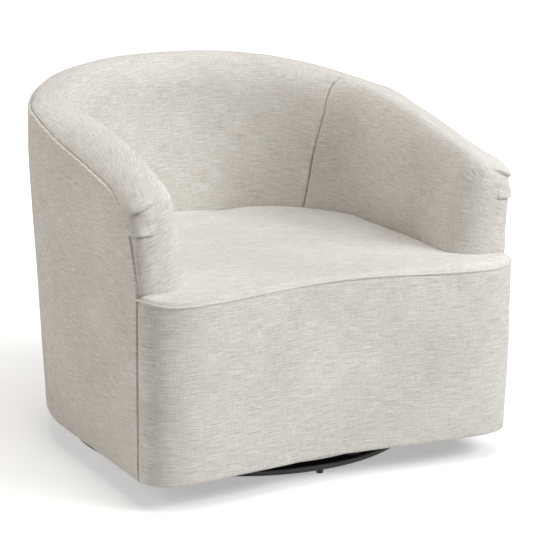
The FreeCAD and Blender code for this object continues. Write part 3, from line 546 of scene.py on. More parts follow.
def wallSection(stations):
    # inset and height of the visible half of the section, for stations of shape (rings, rows)
    pad = wallPad
    inset, height = np.zeros(stations.shape), np.zeros(stations.shape)
    for row, (kind, share) in enumerate(sectionRows()):
        station = np.abs(stations[:, row])
        edge, crest = edgeHeight(station), crestHeight(station)
        bend = share * math.pi / 2
        fromFront = quarterLength + armLength - station
        shown, ahead = smoothStep(*pad["lipShows"], fromFront), smoothStep(*pad["footTurns"], fromFront)
        start = leanInset(station) + blend(pad["lipInset"], pad["lipFront"], shown)
        rollInset = (blend(pad["rollBack"], pad["rollInset"], smoothStep(*pad["rollGrows"], station))
                     - pad["rollFront"] * smoothStep(*pad["rollShrinks"], station))
        rollEnd = crest - pad["rollDrop"]
        footInset = pad["footInset"] + pad["footFront"] * ahead
        top = crestInset(station)
        if kind == "lip":
            point = start, edge - (pad["lipDepth"] + pad["lipFall"] * shown) * (1 - share)
        elif kind == "outer":
            full = blend(pad["fullBack"], pad["fullArm"], smoothStep(*pad["fullTurns"], station))
            rise = full * math.sin(bend) + (1 - full) * math.sin((1 - math.cos(bend)) * math.pi / 2)
            point = blend(top, start, math.cos(bend)), blend(edge, crest, rise)
        elif kind == "roll":
            point = blend(top, rollInset, math.sin(bend)), blend(rollEnd, crest, math.cos(bend))
        elif kind == "face":
            across = share ** (pad["faceCurve"] - pad["faceFront"] * ahead)
            point = blend(rollInset, footInset, across), blend(rollEnd, pad["seatTop"], share)
        else:
            point = footInset, blend(pad["seatTop"], pad["footZ"], share)
        inset[:, row], height[:, row] = point
    return inset, height


def hiddenHalf(stations, height):
    # the way back beside the visible half: up the webbing and out under the roll
    pad = wallPad
    faceStart = pad["lipRows"] + pad["outerRows"] + pad["rollRows"]
    rows = np.arange(stations.shape[1])
    ceiling = edgeHeight(np.abs(stations)) - pad["railDrop"]
    share = np.clip(rows / faceStart, 0, 1)[None, :]
    start = pad["lipInset"] + 1 + leanInset(np.abs(stations))
    return blend(start, pad["webInset"], share), np.where(rows < faceStart, ceiling, np.minimum(height, ceiling))


def wallRings(stations):
    inset, height = wallSection(stations)
    backInset, backHeight = hiddenHalf(stations, height)
    return thereAndBack(stations, stations), thereAndBack(inset, backInset), thereAndBack(height, backHeight)


def lengthAlongRows(points):
    # distance along the section, from its first row
    steps = np.linalg.norm(np.diff(points, axis=1), axis=-1)
    return np.concatenate([np.zeros((len(points), 1)), np.cumsum(steps, axis=1)], axis=1)


def fabricHeight(stations, points):
    # height in the flat cloth: the face keeps its own height, the rest is unrolled over the crest
    down = lengthAlongRows(points)
    crestRow = wallPad["lipRows"] + wallPad["outerRows"]
    return crestHeight(np.abs(stations)) - (down - down[:, crestRow:crestRow + 1])


def seamRelief(gap, down, seed):
    # rounded into the seam, with a low ridge beside it and small puckers across it
    pad = wallPad
    groove = roundOver(gap, pad["seamRound"]) * pad["seamGroove"] / pad["seamRound"]
    ridge = pad["ridgeHeight"] * np.exp(-((gap - pad["ridgeGap"]) / pad["ridgeWidth"]) ** 2)
    draw = np.random.default_rng(seed)
    pace = down / pad["puckerSpacing"] + 0.8 * np.sin(down / 61 + draw.uniform(0, 6))
    pucker = pad["puckerHeight"] * np.sin(2 * math.pi * pace) * np.exp(-gap / pad["puckerReach"])
    return ridge + pucker - groove


def makeBackPad():
    seam = sectionSeamAngles() / 90 * quarterLength + wallPad["seamLap"]
    count = 2 * round(seam.max() / wallPad["backSpacing"]) + 1
    shares = np.linspace(-1, 1, count)
    shares = shares * (1 + 0.12 * (1 - shares ** 2))  # closer together next to the seams
    allStations, insets, heights = wallRings(shares[:, None] * seam)
    rings = place(allStations, insets, heights)
    gap = (np.concatenate([seam, seam[::-1]]) - np.abs(allStations)) * (1 - insets / wallPad["backGather"])
    piece = closedLoops("insideBack", rings, gap=gap, along=allStations, down=fabricHeight(allStations, rings))
    subdivide(piece)
    along, down, gap = notedValues(piece, "along", "down", "gap")
    relief = seamRelief(np.maximum(gap, 0), down, wallPad["backSeed"])
    raiseSurface(piece, relief + unevenness(pointsOf(piece), wallPad["backWaves"]))
    layFabric(piece, along * wallPad["backWeft"], down)
    finishPiece(piece, ["back_pad"])


# front end of an arm: the section closes over a rounded end
armNose = {
    "innerStart": 44, "crestStart": 40, "outerStart": 14, "sideStart": -1.2,  # from the panels' front edge backwards
    "coreInset": 40, "coreTop": 518, "sideInset": 3.0,
    "bottomZ": 370, "bottomRows": 16, "footTuck": 14,
    "firstY": -330, "firstZ": 480,  # a first guess of where the end starts
    "rings": 17, "tipY": -370, "fullness": 0.95,
    # rings behind the first that carry the outer side back over the post: share of the way, and how far back
    "carried": ((0.67, 3.0), (0.33, 27)), "carriedRows": (8, 17),
    "wrap": 70, "wrapBack": 2.95,  # length of cloth round the end, and round it and back
    "easing": 12, "easeShare": 0.6, "easedY": (-300, -328), "easedX": (386, 366),
    # cloth below the roll: its threads run straight round the end, falling outwards
    "straightX": 300, "straightY": (-312, -336), "straightZ": (562, 535), "fall": 0.35,
    # folds: height at an x, slope, that x, and share of the fold's height
    "pleats": ((531, 0.47, 391, 1.0), (495, 0.06, 385, 0.85)),
    "pleatHeight": 6.5, "pleatEdge": (-0.6, 0.9), "pleatGroove": 3.2, "pleatFade": 24,
    "pleatX": (342, 372), "pleatY": (-304, -322),
    "grooveX": (388, 381), "puff": 3.4, "puffZ": 508, "puffWidth": 15, "puffX": (362, 378),
}


def noseBase(station, inset, height):
    # the ring that the rounded end grows from: the section's visible half, closed under it and outside it
    nose, rows = armNose, sectionRows()
    starts = []
    newInset, newHeight = inset.copy(), height.copy()
    for row, (kind, share) in enumerate(rows):
        bend = math.sin(share * math.pi / 2)
        starts.append({
            "lip": blend(nose["sideStart"], nose["outerStart"], share),
            "outer": blend(nose["outerStart"], nose["crestStart"], bend),
            "roll": blend(nose["crestStart"], nose["innerStart"], bend),
        }.get(kind, nose["innerStart"]))
        if kind == "foot":
            newInset[row] = inset[row] - nose["footTuck"] * share
            newHeight[row] = nose["bottomZ"]
    bottomRows = nose["bottomRows"]
    sideRows = len(rows) - bottomRows
    bottomShare = (np.arange(bottomRows) + 1) / (bottomRows + 1)
    bottomInset = blend(newInset[-1], nose["sideInset"], bottomShare)
    bottomY = blend(nose["innerStart"], nose["sideStart"], bottomShare)
    sideShare = np.arange(sideRows) / sideRows
    sideHeight = blend(nose["bottomZ"], height[0], sideShare)
    sideInset = blend(nose["sideInset"], inset[0], smoothStep(0.75, 1, sideShare))
    insets = np.concatenate([newInset, bottomInset, sideInset])
    heights = np.concatenate([newHeight, np.full(bottomRows, float(nose["bottomZ"])), sideHeight])
    starts = np.concatenate([starts, bottomY, np.full(sideRows, nose["sideStart"])])
    return insets, heights, armFront(heights) + starts


def pleatRelief(points):
    # two folds where the roll's cloth is tucked in behind the outside panel
    nose = armNose
    x, y, z = np.abs(points[:, 0]), points[:, 1], points[:, 2]
    relief = np.zeros(len(points))
    for foldZ, slope, foldX, share in nose["pleats"]:
        above = z - (foldZ + slope * (foldX - x))
        step = np.exp(-np.maximum(above, 0) / nose["pleatFade"]) * smoothStep(*nose["pleatEdge"], above)
        relief += share * nose["pleatHeight"] * step
        relief -= nose["pleatGroove"] * np.exp(-((above + 1.5) / 1.4) ** 2) * smoothStep(*nose["grooveX"], x)
    relief += nose["puff"] * np.exp(-((z - nose["puffZ"]) / nose["puffWidth"]) ** 2) * smoothStep(*nose["puffX"], x)
    return relief * smoothStep(*nose["pleatX"], x) * smoothStep(*nose["pleatY"], y)


def easeEnd(piece):
    # evens out the rounded end, but not the side that lies behind the panel
    points = pointsOf(piece)
    edges = np.zeros(len(piece.data.edges) * 2, int)
    piece.data.edges.foreach_get("vertices", edges)
    first, second = edges.reshape(-1, 2).T
    count = np.bincount(edges, minlength=len(points))[:, None]
    for _ in range(armNose["easing"]):
        total = np.zeros(points.shape)
        np.add.at(total, first, points[second])
        np.add.at(total, second, points[first])
        share = smoothStep(*armNose["easedY"], points[:, 1]) * smoothStep(*armNose["easedX"], np.abs(points[:, 0]))
        points += armNose["easeShare"] * share[:, None] * (total / count - points)
    movePoints(piece, points)


def makeArm(name, side):
    pad, nose = wallPad, armNose
    rows = len(sectionRows())
    seam = sectionSeamAngles() / 90 * quarterLength - pad["seamLap"]
    shares = np.linspace(0, 1, pad["armRings"])
    shares = shares - 0.06 * np.sin(math.pi * shares)  # closer together next to the seam
    # where the rounded end starts, row by row
    guess = stationAt(np.full(rows, float(nose["firstY"])), nose["firstZ"])
    inset, height = wallSection(guess[None, :])
    starts = noseBase(guess, inset[0], height[0])[2][:rows]
    front = stationAt(starts, height[0])
    allStations, insets, heights = wallRings(blend(seam, front, shares[:, None]))
    rings = place(allStations, insets, heights)
    down = fabricHeight(allStations, rings)
    gap = (allStations - np.concatenate([seam, seam[::-1]])) * (1 - insets / pad["armGather"])
    baseInset, baseHeight, baseY = noseBase(front, insets[-1, :rows], heights[-1, :rows])
    coreHeight = np.clip(baseHeight, nose["bottomZ"], nose["coreTop"])
    extra, extraAlong, extraDown = [], [], []
    for number in range(nose["rings"] + 1):
        bend = ((number + 0.15) / (nose["rings"] + 2)) ** 0.9 * math.pi / 2
        shrink = math.cos(bend) ** nose["fullness"]
        ringInset = blend(nose["coreInset"], baseInset, shrink)
        ringHeight = blend(coreHeight, baseHeight, shrink)
        ringY = blend(baseY, nose["tipY"], math.sin(bend))
        extra.append(place(stationAt(ringY, ringHeight), ringInset, ringHeight))
        # the cloth runs on round the end, at its own height, and back along the outer side
        outward = np.arange(len(baseInset)) >= rows
        wrapped = nose["wrap"] * bend
        extraAlong.append(allStations[-1] + np.where(outward, nose["wrap"] * nose["wrapBack"] - wrapped, wrapped))
        extraDown.append(np.where(outward, ringHeight + down[-1, rows - 1] - baseHeight[rows - 1],
                                  down[-1] + ringHeight - baseHeight))
    firstRing, firstAlong, firstDown = extra[0], extraAlong[0], extraDown[0]
    sideward = smoothStep(*nose["carriedRows"], np.arange(len(baseInset)) - rows)
    for share, back in nose["carried"]:
        along = place(stationAt(baseY + back, baseHeight), baseInset, baseHeight)
        extra.insert(0, blend(blend(rings[-1], firstRing, share), along, sideward[:, None]))
        extraAlong.insert(0, firstAlong - back)
        extraDown.insert(0, firstDown)
    rings = np.concatenate([rings, extra])
    rings[:, :, 0] *= side
    farOff = np.full((len(extra), gap.shape[1]), 400.0)
    piece = closedLoops(name, rings, gap=np.concatenate([gap, farOff]), down=np.concatenate([down, extraDown]),
                        along=np.concatenate([allStations, extraAlong]))
    easeEnd(piece)
    subdivide(piece, 2)
    points = pointsOf(piece)
    along, down, gap = notedValues(piece, "along", "down", "gap")
    relief = seamRelief(np.maximum(gap, 0), down, pad["armSeed"]) + pleatRelief(points)
    raiseSurface(piece, relief + unevenness(points, pad["armWaves"], side))
    across = np.maximum(np.abs(points[:, 0]) - nose["straightX"], 0)
    share = smoothStep(*nose["straightY"], points[:, 1]) * smoothStep(*nose["straightZ"], points[:, 2])
    along = blend(along, quarterLength + shell["centreY"] - points[:, 1] + across, share)
    layFabric(piece, along, blend(down, points[:, 2] + nose["fall"] * across, share))
    finishPiece(piece, ["arm_pad_" + name[3:].lower(), "arm_front_pad_" + name[3:].lower()])


makeBackPad()
for armName, armSide in (("armLeft", 1), ("armRight", -1)):
    makeArm(armName, armSide)


# outside panels: cloth over thin wadding, with a rounded fold at the edges

panels = {
    "thickness": 4, "foldWidth": 8, "foldDepth": 16,
    "bottomRound": 6, "bottomDepth": 0.7, "edgeRound": 4, "bulge": 1.6, "leanDepth": 90,
    "seamAngle": 74, "spacing": 9, "rows": 74,
    # top edge towards the arm's front: distance behind the front, and height
    "cornerEnds": (60, 105),
    "corner": ((0, 412), (1.5, 430), (4.5, 452), (10, 480), (15, 503), (20, 519), (31, 535), (47, 546), (72, 556),
               (105, 567)),
    "cornerSteps": (105, 96, 87, 78, 70, 62, 54, 47, 40, 34, 28.5, 24, 20, 17, 14, 11.5, 9, 7, 5, 3.4, 2, 0.9, 0,
                    -1.2, -2.4),
    "endWidth": 6.6, "seamRound": 3, "seamDepth": 0.5, "seamGap": 0.2,
    "waves": ((0.55, 170, 0), (0.2, 60, 1)),
}


def panelRings(stations, tops, ends):
    # up the outer side and down the inner side, with a rounded top and bottom
    p = panels
    share = np.linspace(0, 1, p["rows"])
    share = 0.5 - 0.5 * np.cos(math.pi * share) * (0.62 + 0.38 * np.abs(np.cos(math.pi * share)))
    stations = stations[:, None]
    height = blend(skirtZ, tops[:, None], share)
    fromTop, fromBottom = tops[:, None] - height, height - skirtZ
    middle = np.sin(math.pi * share) ** 0.5
    leaning = leanInset(np.abs(stations)) * smoothStep(p["leanDepth"], 0, fromTop)
    outerInset = (leaning + roundOver(fromTop, p["edgeRound"])
                  + roundOver(fromBottom, p["bottomRound"]) * p["bottomDepth"] - p["bulge"] * middle)
    folded = 1 - smoothStep(p["foldDepth"] * 0.5, p["foldDepth"], fromTop)
    fold = np.maximum(blend(p["thickness"], p["foldWidth"], folded), ends[:, None])
    innerInset = leaning + fold - roundOver(fromTop, p["edgeRound"])
    rings = thereAndBack(place(stations, outerInset, height), place(stations, innerInset, height))
    return rings, thereAndBack(height, height)


def makePanel(name, stations, tops, ends, nodes, seed, folds):
    rings, heights = panelRings(stations, tops, folds)
    along = stations[:, None]
    fromEnd = np.minimum(np.abs(along - ends[0]), np.abs(along - ends[1]))
    piece = closedLoops(name, rings, along=along, down=heights, fromEnd=fromEnd,
                        outer=np.arange(rings.shape[1]) < panels["rows"])
    subdivide(piece)
    along, down, fromEnd, outer = notedValues(piece, "along", "down", "fromEnd", "outer")
    relief = -roundOver(fromEnd, panels["seamRound"]) * panels["seamDepth"] * outer
    relief += unevenness(pointsOf(piece), panels["waves"], seed) * outer * smoothStep(0, 30, fromEnd)
    raiseSurface(piece, relief)
    layFabric(piece, along, down)
    finishPiece(piece, nodes)


def makeArmPanel(name, side):
    p = panels
    rear = p["seamAngle"] / 90 * quarterLength + p["seamGap"]
    front = quarterLength + armLength
    steps = np.array(p["cornerSteps"])
    stations = np.concatenate([np.arange(rear, front - steps[0] - 3, p["spacing"]), front - steps])
    distance = front - stations
    tops = blend(throughPoints(*p["corner"])(distance), edgeHeight(stations), smoothStep(*p["cornerEnds"], distance))
    folds = p["endWidth"] * (distance < 0.5)
    makePanel(name, stations * side, tops, (rear * side, stations[-1] * side),
              ["outside_arm_panel_" + name[10:].lower()], 31 + side, folds)


def makeBackPanel():
    reach = panels["seamAngle"] / 90 * quarterLength - panels["seamGap"]
    stations = np.linspace(-reach, reach, 2 * round(reach / panels["spacing"]) + 1)
    makePanel("outsideBack", stations, edgeHeight(np.abs(stations)), (-reach, reach), ["outside_back_panel"], 41,
              0 * stations)


makeBackPanel()
makeArmPanel("outsideArmLeft", 1)
makeArmPanel("outsideArmRight", -1)


# front border, its welt, and the seat

front = {
    "thickness": 20, "underWelt": 2, "bottomRound": 7, "topRound": 5, "topDepth": 0.8,
    "bulge": 2.2, "endRecess": 3.5, "endRound": 9,
    "spacing": 8, "rows": 46,
    "waves": ((0.6, 160, 51), (0.2, 55, 52)),
    "weltDip": 8.4, "weltCorner": 7.2, "weltShoulder": 0.85,
    "weltRadius": 2.9, "weltProud": 1.2, "weltSides": 12, "weltWaves": ((0.25, 22, 61),),
}


seatX = frontHalfWidth(seatZ)
cornerX = seatX - shell["cornerWidth"]  # where the corner of the front begins


def borderFront(z):
    return shell["borderY"] - shell["borderLean"] * (z - skirtZ)


def frontHollow(x):
    share = np.clip(np.abs(x) / shell["hollowReach"], 0, 1)
    return shell["hollow"] * np.cos(share * math.pi / 2) ** 2


def frontY(x, forward, z):
    # forward goes from 0 at the arms' front to 1 at the border's
    return blend(armFront(z), borderFront(z), forward) + frontHollow(x)


def frontLine():
    # plan of the front at seat height as even steps: place across from -1 to 1, and how far the corner goes forward
    steps = 160
    corner = np.linspace(0, math.pi / 2, steps)
    power = 2 / shell["cornerFullness"]
    across = shell["cornerWidth"] * np.cos(corner) ** power
    depth = np.sin(corner) ** power
    x = np.concatenate([cornerX + across, np.linspace(cornerX, 0, steps)[1:]])
    forward = np.concatenate([depth, np.ones(steps - 1)])
    y = frontY(x, forward, seatZ)
    lengths = np.concatenate([[0], np.cumsum(np.hypot(np.diff(x), np.diff(y)))])
    count = round(lengths[-1] / front["spacing"])
    even = np.linspace(0, lengths[-1], count + 1)
    halfX, halfForward = np.interp(even, lengths, x), np.interp(even, lengths, forward)
    x = np.concatenate([halfX, -halfX[-2::-1]])
    forward = np.concatenate([halfForward, halfForward[-2::-1]])
    return x, forward, np.concatenate([even, 2 * even[-1] - even[-2::-1]])


def frontPlace(inset, z):
    # points of the front at an inset, for every step of the front line; inset and z of shape (steps, rows)
    x, forward, _ = frontLine()
    x, forward = x[:, None] + 0 * z, forward[:, None] + 0 * z
    grow = (frontHalfWidth(z) - cornerX) / (seatX - cornerX)
    far = np.maximum(np.abs(x) - cornerX, 0)
    across = np.sign(x) * (np.minimum(np.abs(x), cornerX) + far * grow)
    y = frontY(across, forward, z)
    return squareTo(across, y, z, np.gradient(across, axis=0), np.gradient(y, axis=0), inset)


def seamHeight(x):
    # height of the seat's front seam: it dips at the shoulders and rises in the middle and at the corners
    share, shoulder = np.abs(x) / seatX, front["weltShoulder"]
    middle = np.cos(np.clip(share / shoulder, 0, 1) * math.pi / 2) ** 2
    corner = np.clip((share - shoulder) / (1 - shoulder), 0, 1) ** 2
    return seatZ + front["weltDip"] * middle + front["weltCorner"] * corner


def makeBorder():
    x, _, lengths = frontLine()
    top = seamHeight(x)[:, None] - front["underWelt"]
    share = np.linspace(0, 1, front["rows"])
    share = share - 0.11 * np.sin(2 * math.pi * share)  # closer together at the edges
    heights = blend(skirtZ, top, share)
    fromTop, fromBottom = top - heights, heights - skirtZ
    fromEnd = np.minimum(lengths, lengths[-1] - lengths)[:, None]
    outer = (roundOver(fromTop, front["topRound"]) * front["topDepth"] + roundOver(fromBottom, front["bottomRound"])
             + roundOver(fromEnd, front["endRound"]) * front["endRecess"] / front["endRound"]
             - front["bulge"] * np.sin(math.pi * share) ** 0.6 * smoothStep(0, 60, fromEnd))
    inner = front["thickness"] - roundOver(fromBottom, front["bottomRound"])
    rings = thereAndBack(frontPlace(outer, heights), frontPlace(inner, heights))
    piece = closedLoops("frontBorder", rings, along=lengths[:, None], down=thereAndBack(heights, heights),
                        outer=np.arange(rings.shape[1]) < front["rows"])
    subdivide(piece)
    along, down, outer = notedValues(piece, "along", "down", "outer")
    raiseSurface(piece, unevenness(pointsOf(piece), front["waves"]) * outer)
    layFabric(piece, along, down)
    finishPiece(piece, ["front_border"])


def makeWelt():
    x, _, lengths = frontLine()
    radius = front["weltRadius"]
    turns = np.linspace(0, 2 * math.pi, front["weltSides"], endpoint=False)
    inset = -front["weltProud"] + radius - radius * np.cos(turns)[None, :] + 0 * x[:, None]
    height = seamHeight(x)[:, None] + radius * 0.9 * np.sin(turns)[None, :]
    piece = closedLoops("seatWelt", frontPlace(inset, height), along=lengths[:, None], down=turns * radius)
    subdivide(piece)
    raiseSurface(piece, unevenness(pointsOf(piece), front["weltWaves"]))
    layFabric(piece, *notedValues(piece, "down", "along"))
    finishPiece(piece, ["seat_welt"])


seat = {
    "voxel": 6, "smoothing": 4, "base": 308, "inset": 1.2, "overlap": 2, "frontRound": 30, "seamRise": 1.5,
    "wing": -336, "wallEnd": -316, "wallReach": (-335, -300), "wallRound": 10, "wallDrop": 3.5,
    "wallRadius": 392, "wallTaper": 0.03, "armInset": 3,
    "middle": (0, -40), "rows": 40, "sideRows": 7,
    "crown": ((-430, 388), (-380, 392), (-300, 395), (-150, 397), (0, 397), (120, 396), (190, 396), (250, 394),
              (312, 392)),
    "dip": 24, "dipWidth": 105, "dipReach": (190, 305),  # hollow at the back
    "waves": ((0.9, 190, 71), (0.25, 60, 72)), "wavesZ": (362, 380),
}


def seatTop(x, y):
    # height of the seat's top, falling in a rounded edge to the front seam and to the walls
    crown = throughPoints(*seat["crown"])(y)
    crown = crown - seat["dip"] * np.exp(-(x / seat["dipWidth"]) ** 2) * smoothStep(*seat["dipReach"], y)
    far = np.clip((np.abs(x) - cornerX) / shell["cornerWidth"], 0, 1)
    power = shell["cornerFullness"]
    fromFront = y - frontY(x, (1 - far ** power) ** (1 / power), seatZ)
    fromSeam = np.minimum(fromFront, np.where(y < seat["wing"], seatX - np.abs(x), 1e3))
    seam = seamHeight(x) + seat["seamRise"]
    rounded = 1 - roundOver(fromSeam, seat["frontRound"]) / seat["frontRound"]
    top = seam + np.maximum(crown - seam, 0) * rounded
    radius, back = seat["wallRadius"] - wallPad["footInset"], y - shell["centreY"]
    fromWall = np.where(back > 0, radius - np.hypot(x, back),
                        radius - seat["armInset"] + back * seat["wallTaper"] - np.abs(x))
    wallEdge = roundOver(fromWall, seat["wallRound"]) * smoothStep(*seat["wallReach"], y)
    return top - wallEdge * seat["wallDrop"] / seat["wallRound"]


def seatOutline():
    # plan of the seat: along the front seam, in front of the arms, and along the walls
    x, _, _ = frontLine()
    level = np.full((len(x), 1), float(seatZ))
    seam = frontPlace(np.full(level.shape, float(seat["inset"])), level)[:, 0, :2]
    reach = quarterLength + armLength + armFront(seatZ) - seat["wallEnd"]
    wall = np.linspace(-reach, reach, 161)[:, None]
    wallEdge = place(wall, wallPad["footInset"] - seat["overlap"], seatZ)[:, 0, :2]
    return np.concatenate([seam[1:-1], wallEdge])


def makeSeat():
    edge = seatOutline()
    share = np.linspace(0, 1, seat["rows"])[None, :, None] ** 0.8
    middle = np.array(seat["middle"])
    plan = blend(middle, edge[:, None], np.maximum(share, 0.004))
    top = seatTop(plan[:, :, 0], plan[:, :, 1])
    upper = np.concatenate([plan, top[:, :, None]], axis=-1)
    side = np.linspace(0.1, 0.9, seat["sideRows"])[None, :, None]
    low = np.concatenate([edge, np.full((len(edge), 1), float(seat["base"]))], axis=-1)[:, None]
    wall = blend(upper[:, -1:], low, side)
    lower = np.concatenate([plan[:, ::-1], np.full(top.shape + (1,), float(seat["base"]))], axis=-1)
    rings = np.concatenate([upper, wall, lower], axis=1)
    piece = closedLoops("seatCushion", rings, caps=False)
    remesh = piece.modifiers.new("Remesh", "REMESH")
    remesh.mode = "VOXEL"
    remesh.voxel_size = seat["voxel"] * mm
    smooth = piece.modifiers.new("Smooth", "SMOOTH")
    smooth.factor, smooth.iterations = 0.5, seat["smoothing"]
    applyModifiers(piece)
    points = pointsOf(piece)
    flat = smoothStep(0.35, 0.75, vectorsOf(piece, "normal")[:, 2])
    points[:, 2] += (seatTop(points[:, 0], points[:, 1]) - points[:, 2]) * flat
    movePoints(piece, points)
    subdivide(piece)
    points = pointsOf(piece)
    raiseSurface(piece, unevenness(points, seat["waves"]) * smoothStep(*seat["wavesZ"], points[:, 2]))
    points = pointsOf(piece)
    layFabric(piece, points[:, 0], points[:, 1] + points[:, 2])
    finishPiece(piece, ["seat_pad"])


makeBorder()
makeWelt()
makeSeat()


# hidden cloths and straps

cloths = {
    "frontInset": 24, "endGap": 4, "endSteps": 4, "ripples": ((0.35, 3, 9), (0.25, 11, 0)),
    "coverInset": 5, "coverEdgeZ": 49.5, "coverTop": 50, "coverThickness": 0.9, "coverHole": 135,
    "coverRows": 9, "coverSag": 1.2, "coverFlat": (0.756, 0.800), "coverArea": 0.47,
    "deckInset": 51, "deckEdgeZ": 307, "deckTop": 307.5, "deckThickness": 1.4,
    "deckRows": 14, "deckSag": 1.5, "deckFlat": (0.70, 0.76), "deckArea": 0.45,
    "strapInset": 50.3, "strapThickness": 1.5, "strapWidth": 49, "strapLength": 740,
    "strapHeights": (403, 499, 594.5), "strapAngle": 61.5, "strapRidge": 0.12,
}


def outline(wallInset, z):
    # plan of the chair at a height, all the way round
    wall = np.linspace(-1, 1, 121)[:, None] * (quarterLength + armLength - cloths["endGap"])
    x, _, _ = frontLine()
    level = np.full((len(x), 1), float(z))
    ends = cloths["endSteps"]
    border = frontPlace(0 * level + cloths["frontInset"], level)[ends:-ends]
    return np.concatenate([place(wall, wallInset, z)[:, 0], border[:, 0]])


def flatCloth(name, edge, hole, z, thickness, rows, sag):
    # a thin cloth from a round hole, or from the middle, out to its edge
    share = np.linspace(0, 1, rows)[None, :, None]
    turn = np.arctan2(edge[:, 1], edge[:, 0])
    start = np.stack([hole * np.cos(turn), hole * np.sin(turn), edge[:, 2]], axis=-1)
    upper = blend(start[:, None], edge[:, None], share)
    ripple = sum(height * np.sin(turns * turn[:, None] + twist * share[:, :, 0])
                 for height, turns, twist in cloths["ripples"])
    upper[:, :, 2] = z - sag * np.sin(math.pi * share[:, :, 0]) * (1 + ripple)
    piece = closedLoops(name, thereAndBack(upper, upper - np.array([0, 0, thickness])), caps=False)
    faceOutwards(piece, merge=True)
    points = pointsOf(piece)
    layFabric(piece, points[:, 0], points[:, 1])
    print(name, "area of one side", sum(face.area for face in piece.data.polygons) / 2)
    return piece


def makeCloths():
    c = cloths
    cover = flatCloth("dustCover", outline(c["coverInset"], c["coverEdgeZ"]), c["coverHole"], c["coverTop"],
                      c["coverThickness"], c["coverRows"], c["coverSag"])
    finishPiece(cover, ["dust_cover"], slot="dust_cloth")
    deck = flatCloth("deckCloth", outline(c["deckInset"], c["deckEdgeZ"]), 0, c["deckTop"],
                     c["deckThickness"], c["deckRows"], c["deckSag"])
    finishPiece(deck, ["deck_cloth"], slot="dust_cloth")
    reach = c["strapAngle"] / 90 * quarterLength
    stations = np.linspace(-reach, reach, 60)[:, None]
    for number, middle in enumerate(c["strapHeights"], start=1):
        heights = middle + np.linspace(-0.5, 0.5, 8)[None, :] * c["strapWidth"]
        rings = thereAndBack(place(stations, c["strapInset"] + c["strapThickness"], heights),
                             place(stations, c["strapInset"], heights))
        strap = closedLoops(f"backStrap{number}", rings)
        subdivide(strap)
        points = pointsOf(strap)
        raiseSurface(strap, c["strapRidge"] * np.cos(points[:, 2] * 2.1))
        layFabric(strap, points[:, 0], points[:, 2])
        finishPiece(strap, [f"back_strap_{number}"], slot="webbing")


makeCloths()

# materials of the CAD nodes that stay
for entry in frame["record"]["subparts"]:
    clothe(frame["nodes"][entry["node"]], entry["material_slot"])


# floor, light and camera

studio = {
    "floorSize": 60, "floorColour": (0.84, 0.84, 0.84),
    "floorGlow": 0.42, "glowStart": 0.75, "glowEnd": 1.9,  # metres from the middle, lets the paper end in plain white
    "worldStrength": 0.14, "worldTint": (1.0, 0.86, 0.7),
    "key": {"at": (2.6, -2.8, 3.0), "aim": (0, 0, 0.4), "size": 1.8, "power": 72, "tint": (0.97, 0.985, 1.0)},
    "front": {"at": (1.7, -3.4, 2.8), "aim": (0, 0, 0.4), "size": 1.8, "power": 58, "tint": (0.97, 0.985, 1.0)},
    "fill": {"at": (-3.2, 1.8, 1.8), "aim": (0, 0, 0.35), "size": 2.0, "power": 47, "tint": (1.0, 0.955, 0.9)},
    "top": {"at": (0.2, -0.8, 4.0), "aim": (0, 0, 0.3), "size": 3.2, "power": 80, "tint": (0.97, 0.985, 1.0)},
}


def makeFloor():
    bpy.ops.mesh.primitive_plane_add(size=studio["floorSize"], location=(0, 0, 0))
    floor = bpy.context.object
    floor.name = "floor"
    material, desk, shader = newMaterial("floorPaper", 0.95, Specular_IOR_Level=0.0)
    where = desk.add("ShaderNodeTexCoord").outputs["Object"]
    grain = desk.noise(desk.scaled(where, (260, 260, 260)), 2, 0.5)
    low = [c * 0.985 for c in studio["floorColour"]]
    desk.feed(shader.inputs["Base Color"], desk.mixed(grain, low, studio["floorColour"]))
    distance = desk.add("ShaderNodeVectorMath", {0: where}, operation="LENGTH").outputs["Value"]
    glow = desk.ranged(distance, studio["glowStart"], studio["glowEnd"], studio["floorGlow"], 1.0)
    seen = desk.seenBy("Camera", "Glossy")
    shader.inputs["Emission Color"].default_value = (1, 1, 1, 1)
    desk.feed(shader.inputs["Emission Strength"], desk.maths("MULTIPLY", seen, glow))
    floor.data.materials.append(material)


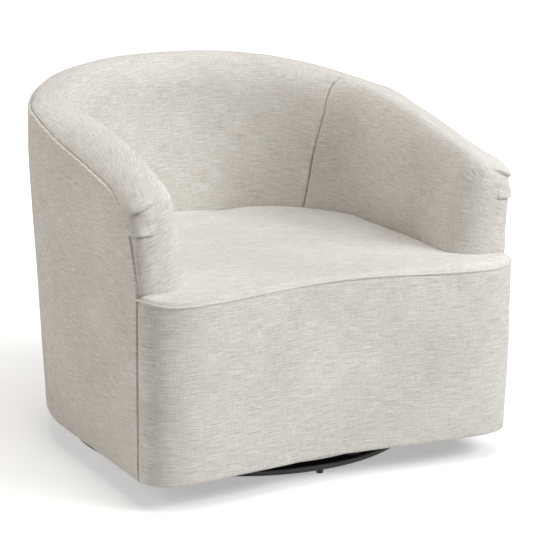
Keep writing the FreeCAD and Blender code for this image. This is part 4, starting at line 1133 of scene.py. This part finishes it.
def makeWorld():
    world = bpy.data.worlds.new("studio")
    bpy.context.scene.world = world
    world.use_nodes = True
    world.node_tree.nodes.clear()
    desk = NodeDesk(world.node_tree)
    seen = desk.seenBy("Camera", "Glossy", "Transmission")
    strength = desk.ranged(seen, 0, 1, studio["worldStrength"], 1.0)
    tint = desk.mixed(seen, studio["worldTint"], (1, 1, 1))
    background = desk.add("ShaderNodeBackground", {"Color": tint, "Strength": strength})
    out = desk.add("ShaderNodeOutputWorld")
    desk.feed(out.inputs["Surface"], background.outputs[0])


def lookAlong(thing, location, direction):
    thing.location = location
    thing.rotation_euler = direction.to_track_quat("-Z", "Y").to_euler()


def makeLamp(name):
    lamp = studio[name]
    data = bpy.data.lights.new(name + "Lamp", "AREA")
    data.shape, data.size, data.energy, data.color = "DISK", lamp["size"], lamp["power"], lamp["tint"]
    lookAlong(newObject(name + "Lamp", data), Vector(lamp["at"]), Vector(lamp["aim"]) - Vector(lamp["at"]))


camera = {
    "azimuth": -26.8, "elevation": 13.0, "distance": 3922, "targetZ": 330,
    "picture": 540, "focal": 1990, "centre": (241.3, 266.05),  # pixels
    "sensor": 36,
}


def makeCamera():
    azimuth, elevation = math.radians(camera["azimuth"]), math.radians(camera["elevation"])
    level = math.cos(elevation)
    back = Vector((math.sin(azimuth) * level, -math.cos(azimuth) * level, math.sin(elevation)))
    right = Vector((math.cos(azimuth), math.sin(azimuth), 0))
    up = back.cross(right)
    position = Vector((0, 0, camera["targetZ"])) + back * camera["distance"]
    sideways, downwards = ((camera["picture"] / 2 - middle) / camera["focal"] for middle in camera["centre"])
    aim = -back + right * sideways - up * downwards
    data = bpy.data.cameras.new("photoCamera")
    data.sensor_width = camera["sensor"]
    data.lens = camera["sensor"] * camera["focal"] / camera["picture"]
    data.clip_end = 100
    bpy.context.scene.camera = newObject("photoCamera", data)
    lookAlong(bpy.context.scene.camera, position * mm, aim)


makeFloor()
makeWorld()
for lampName in ("key", "front", "fill", "top"):
    makeLamp(lampName)
makeCamera()
bpy.context.scene.view_settings.view_transform = "Standard"

print("scene made")
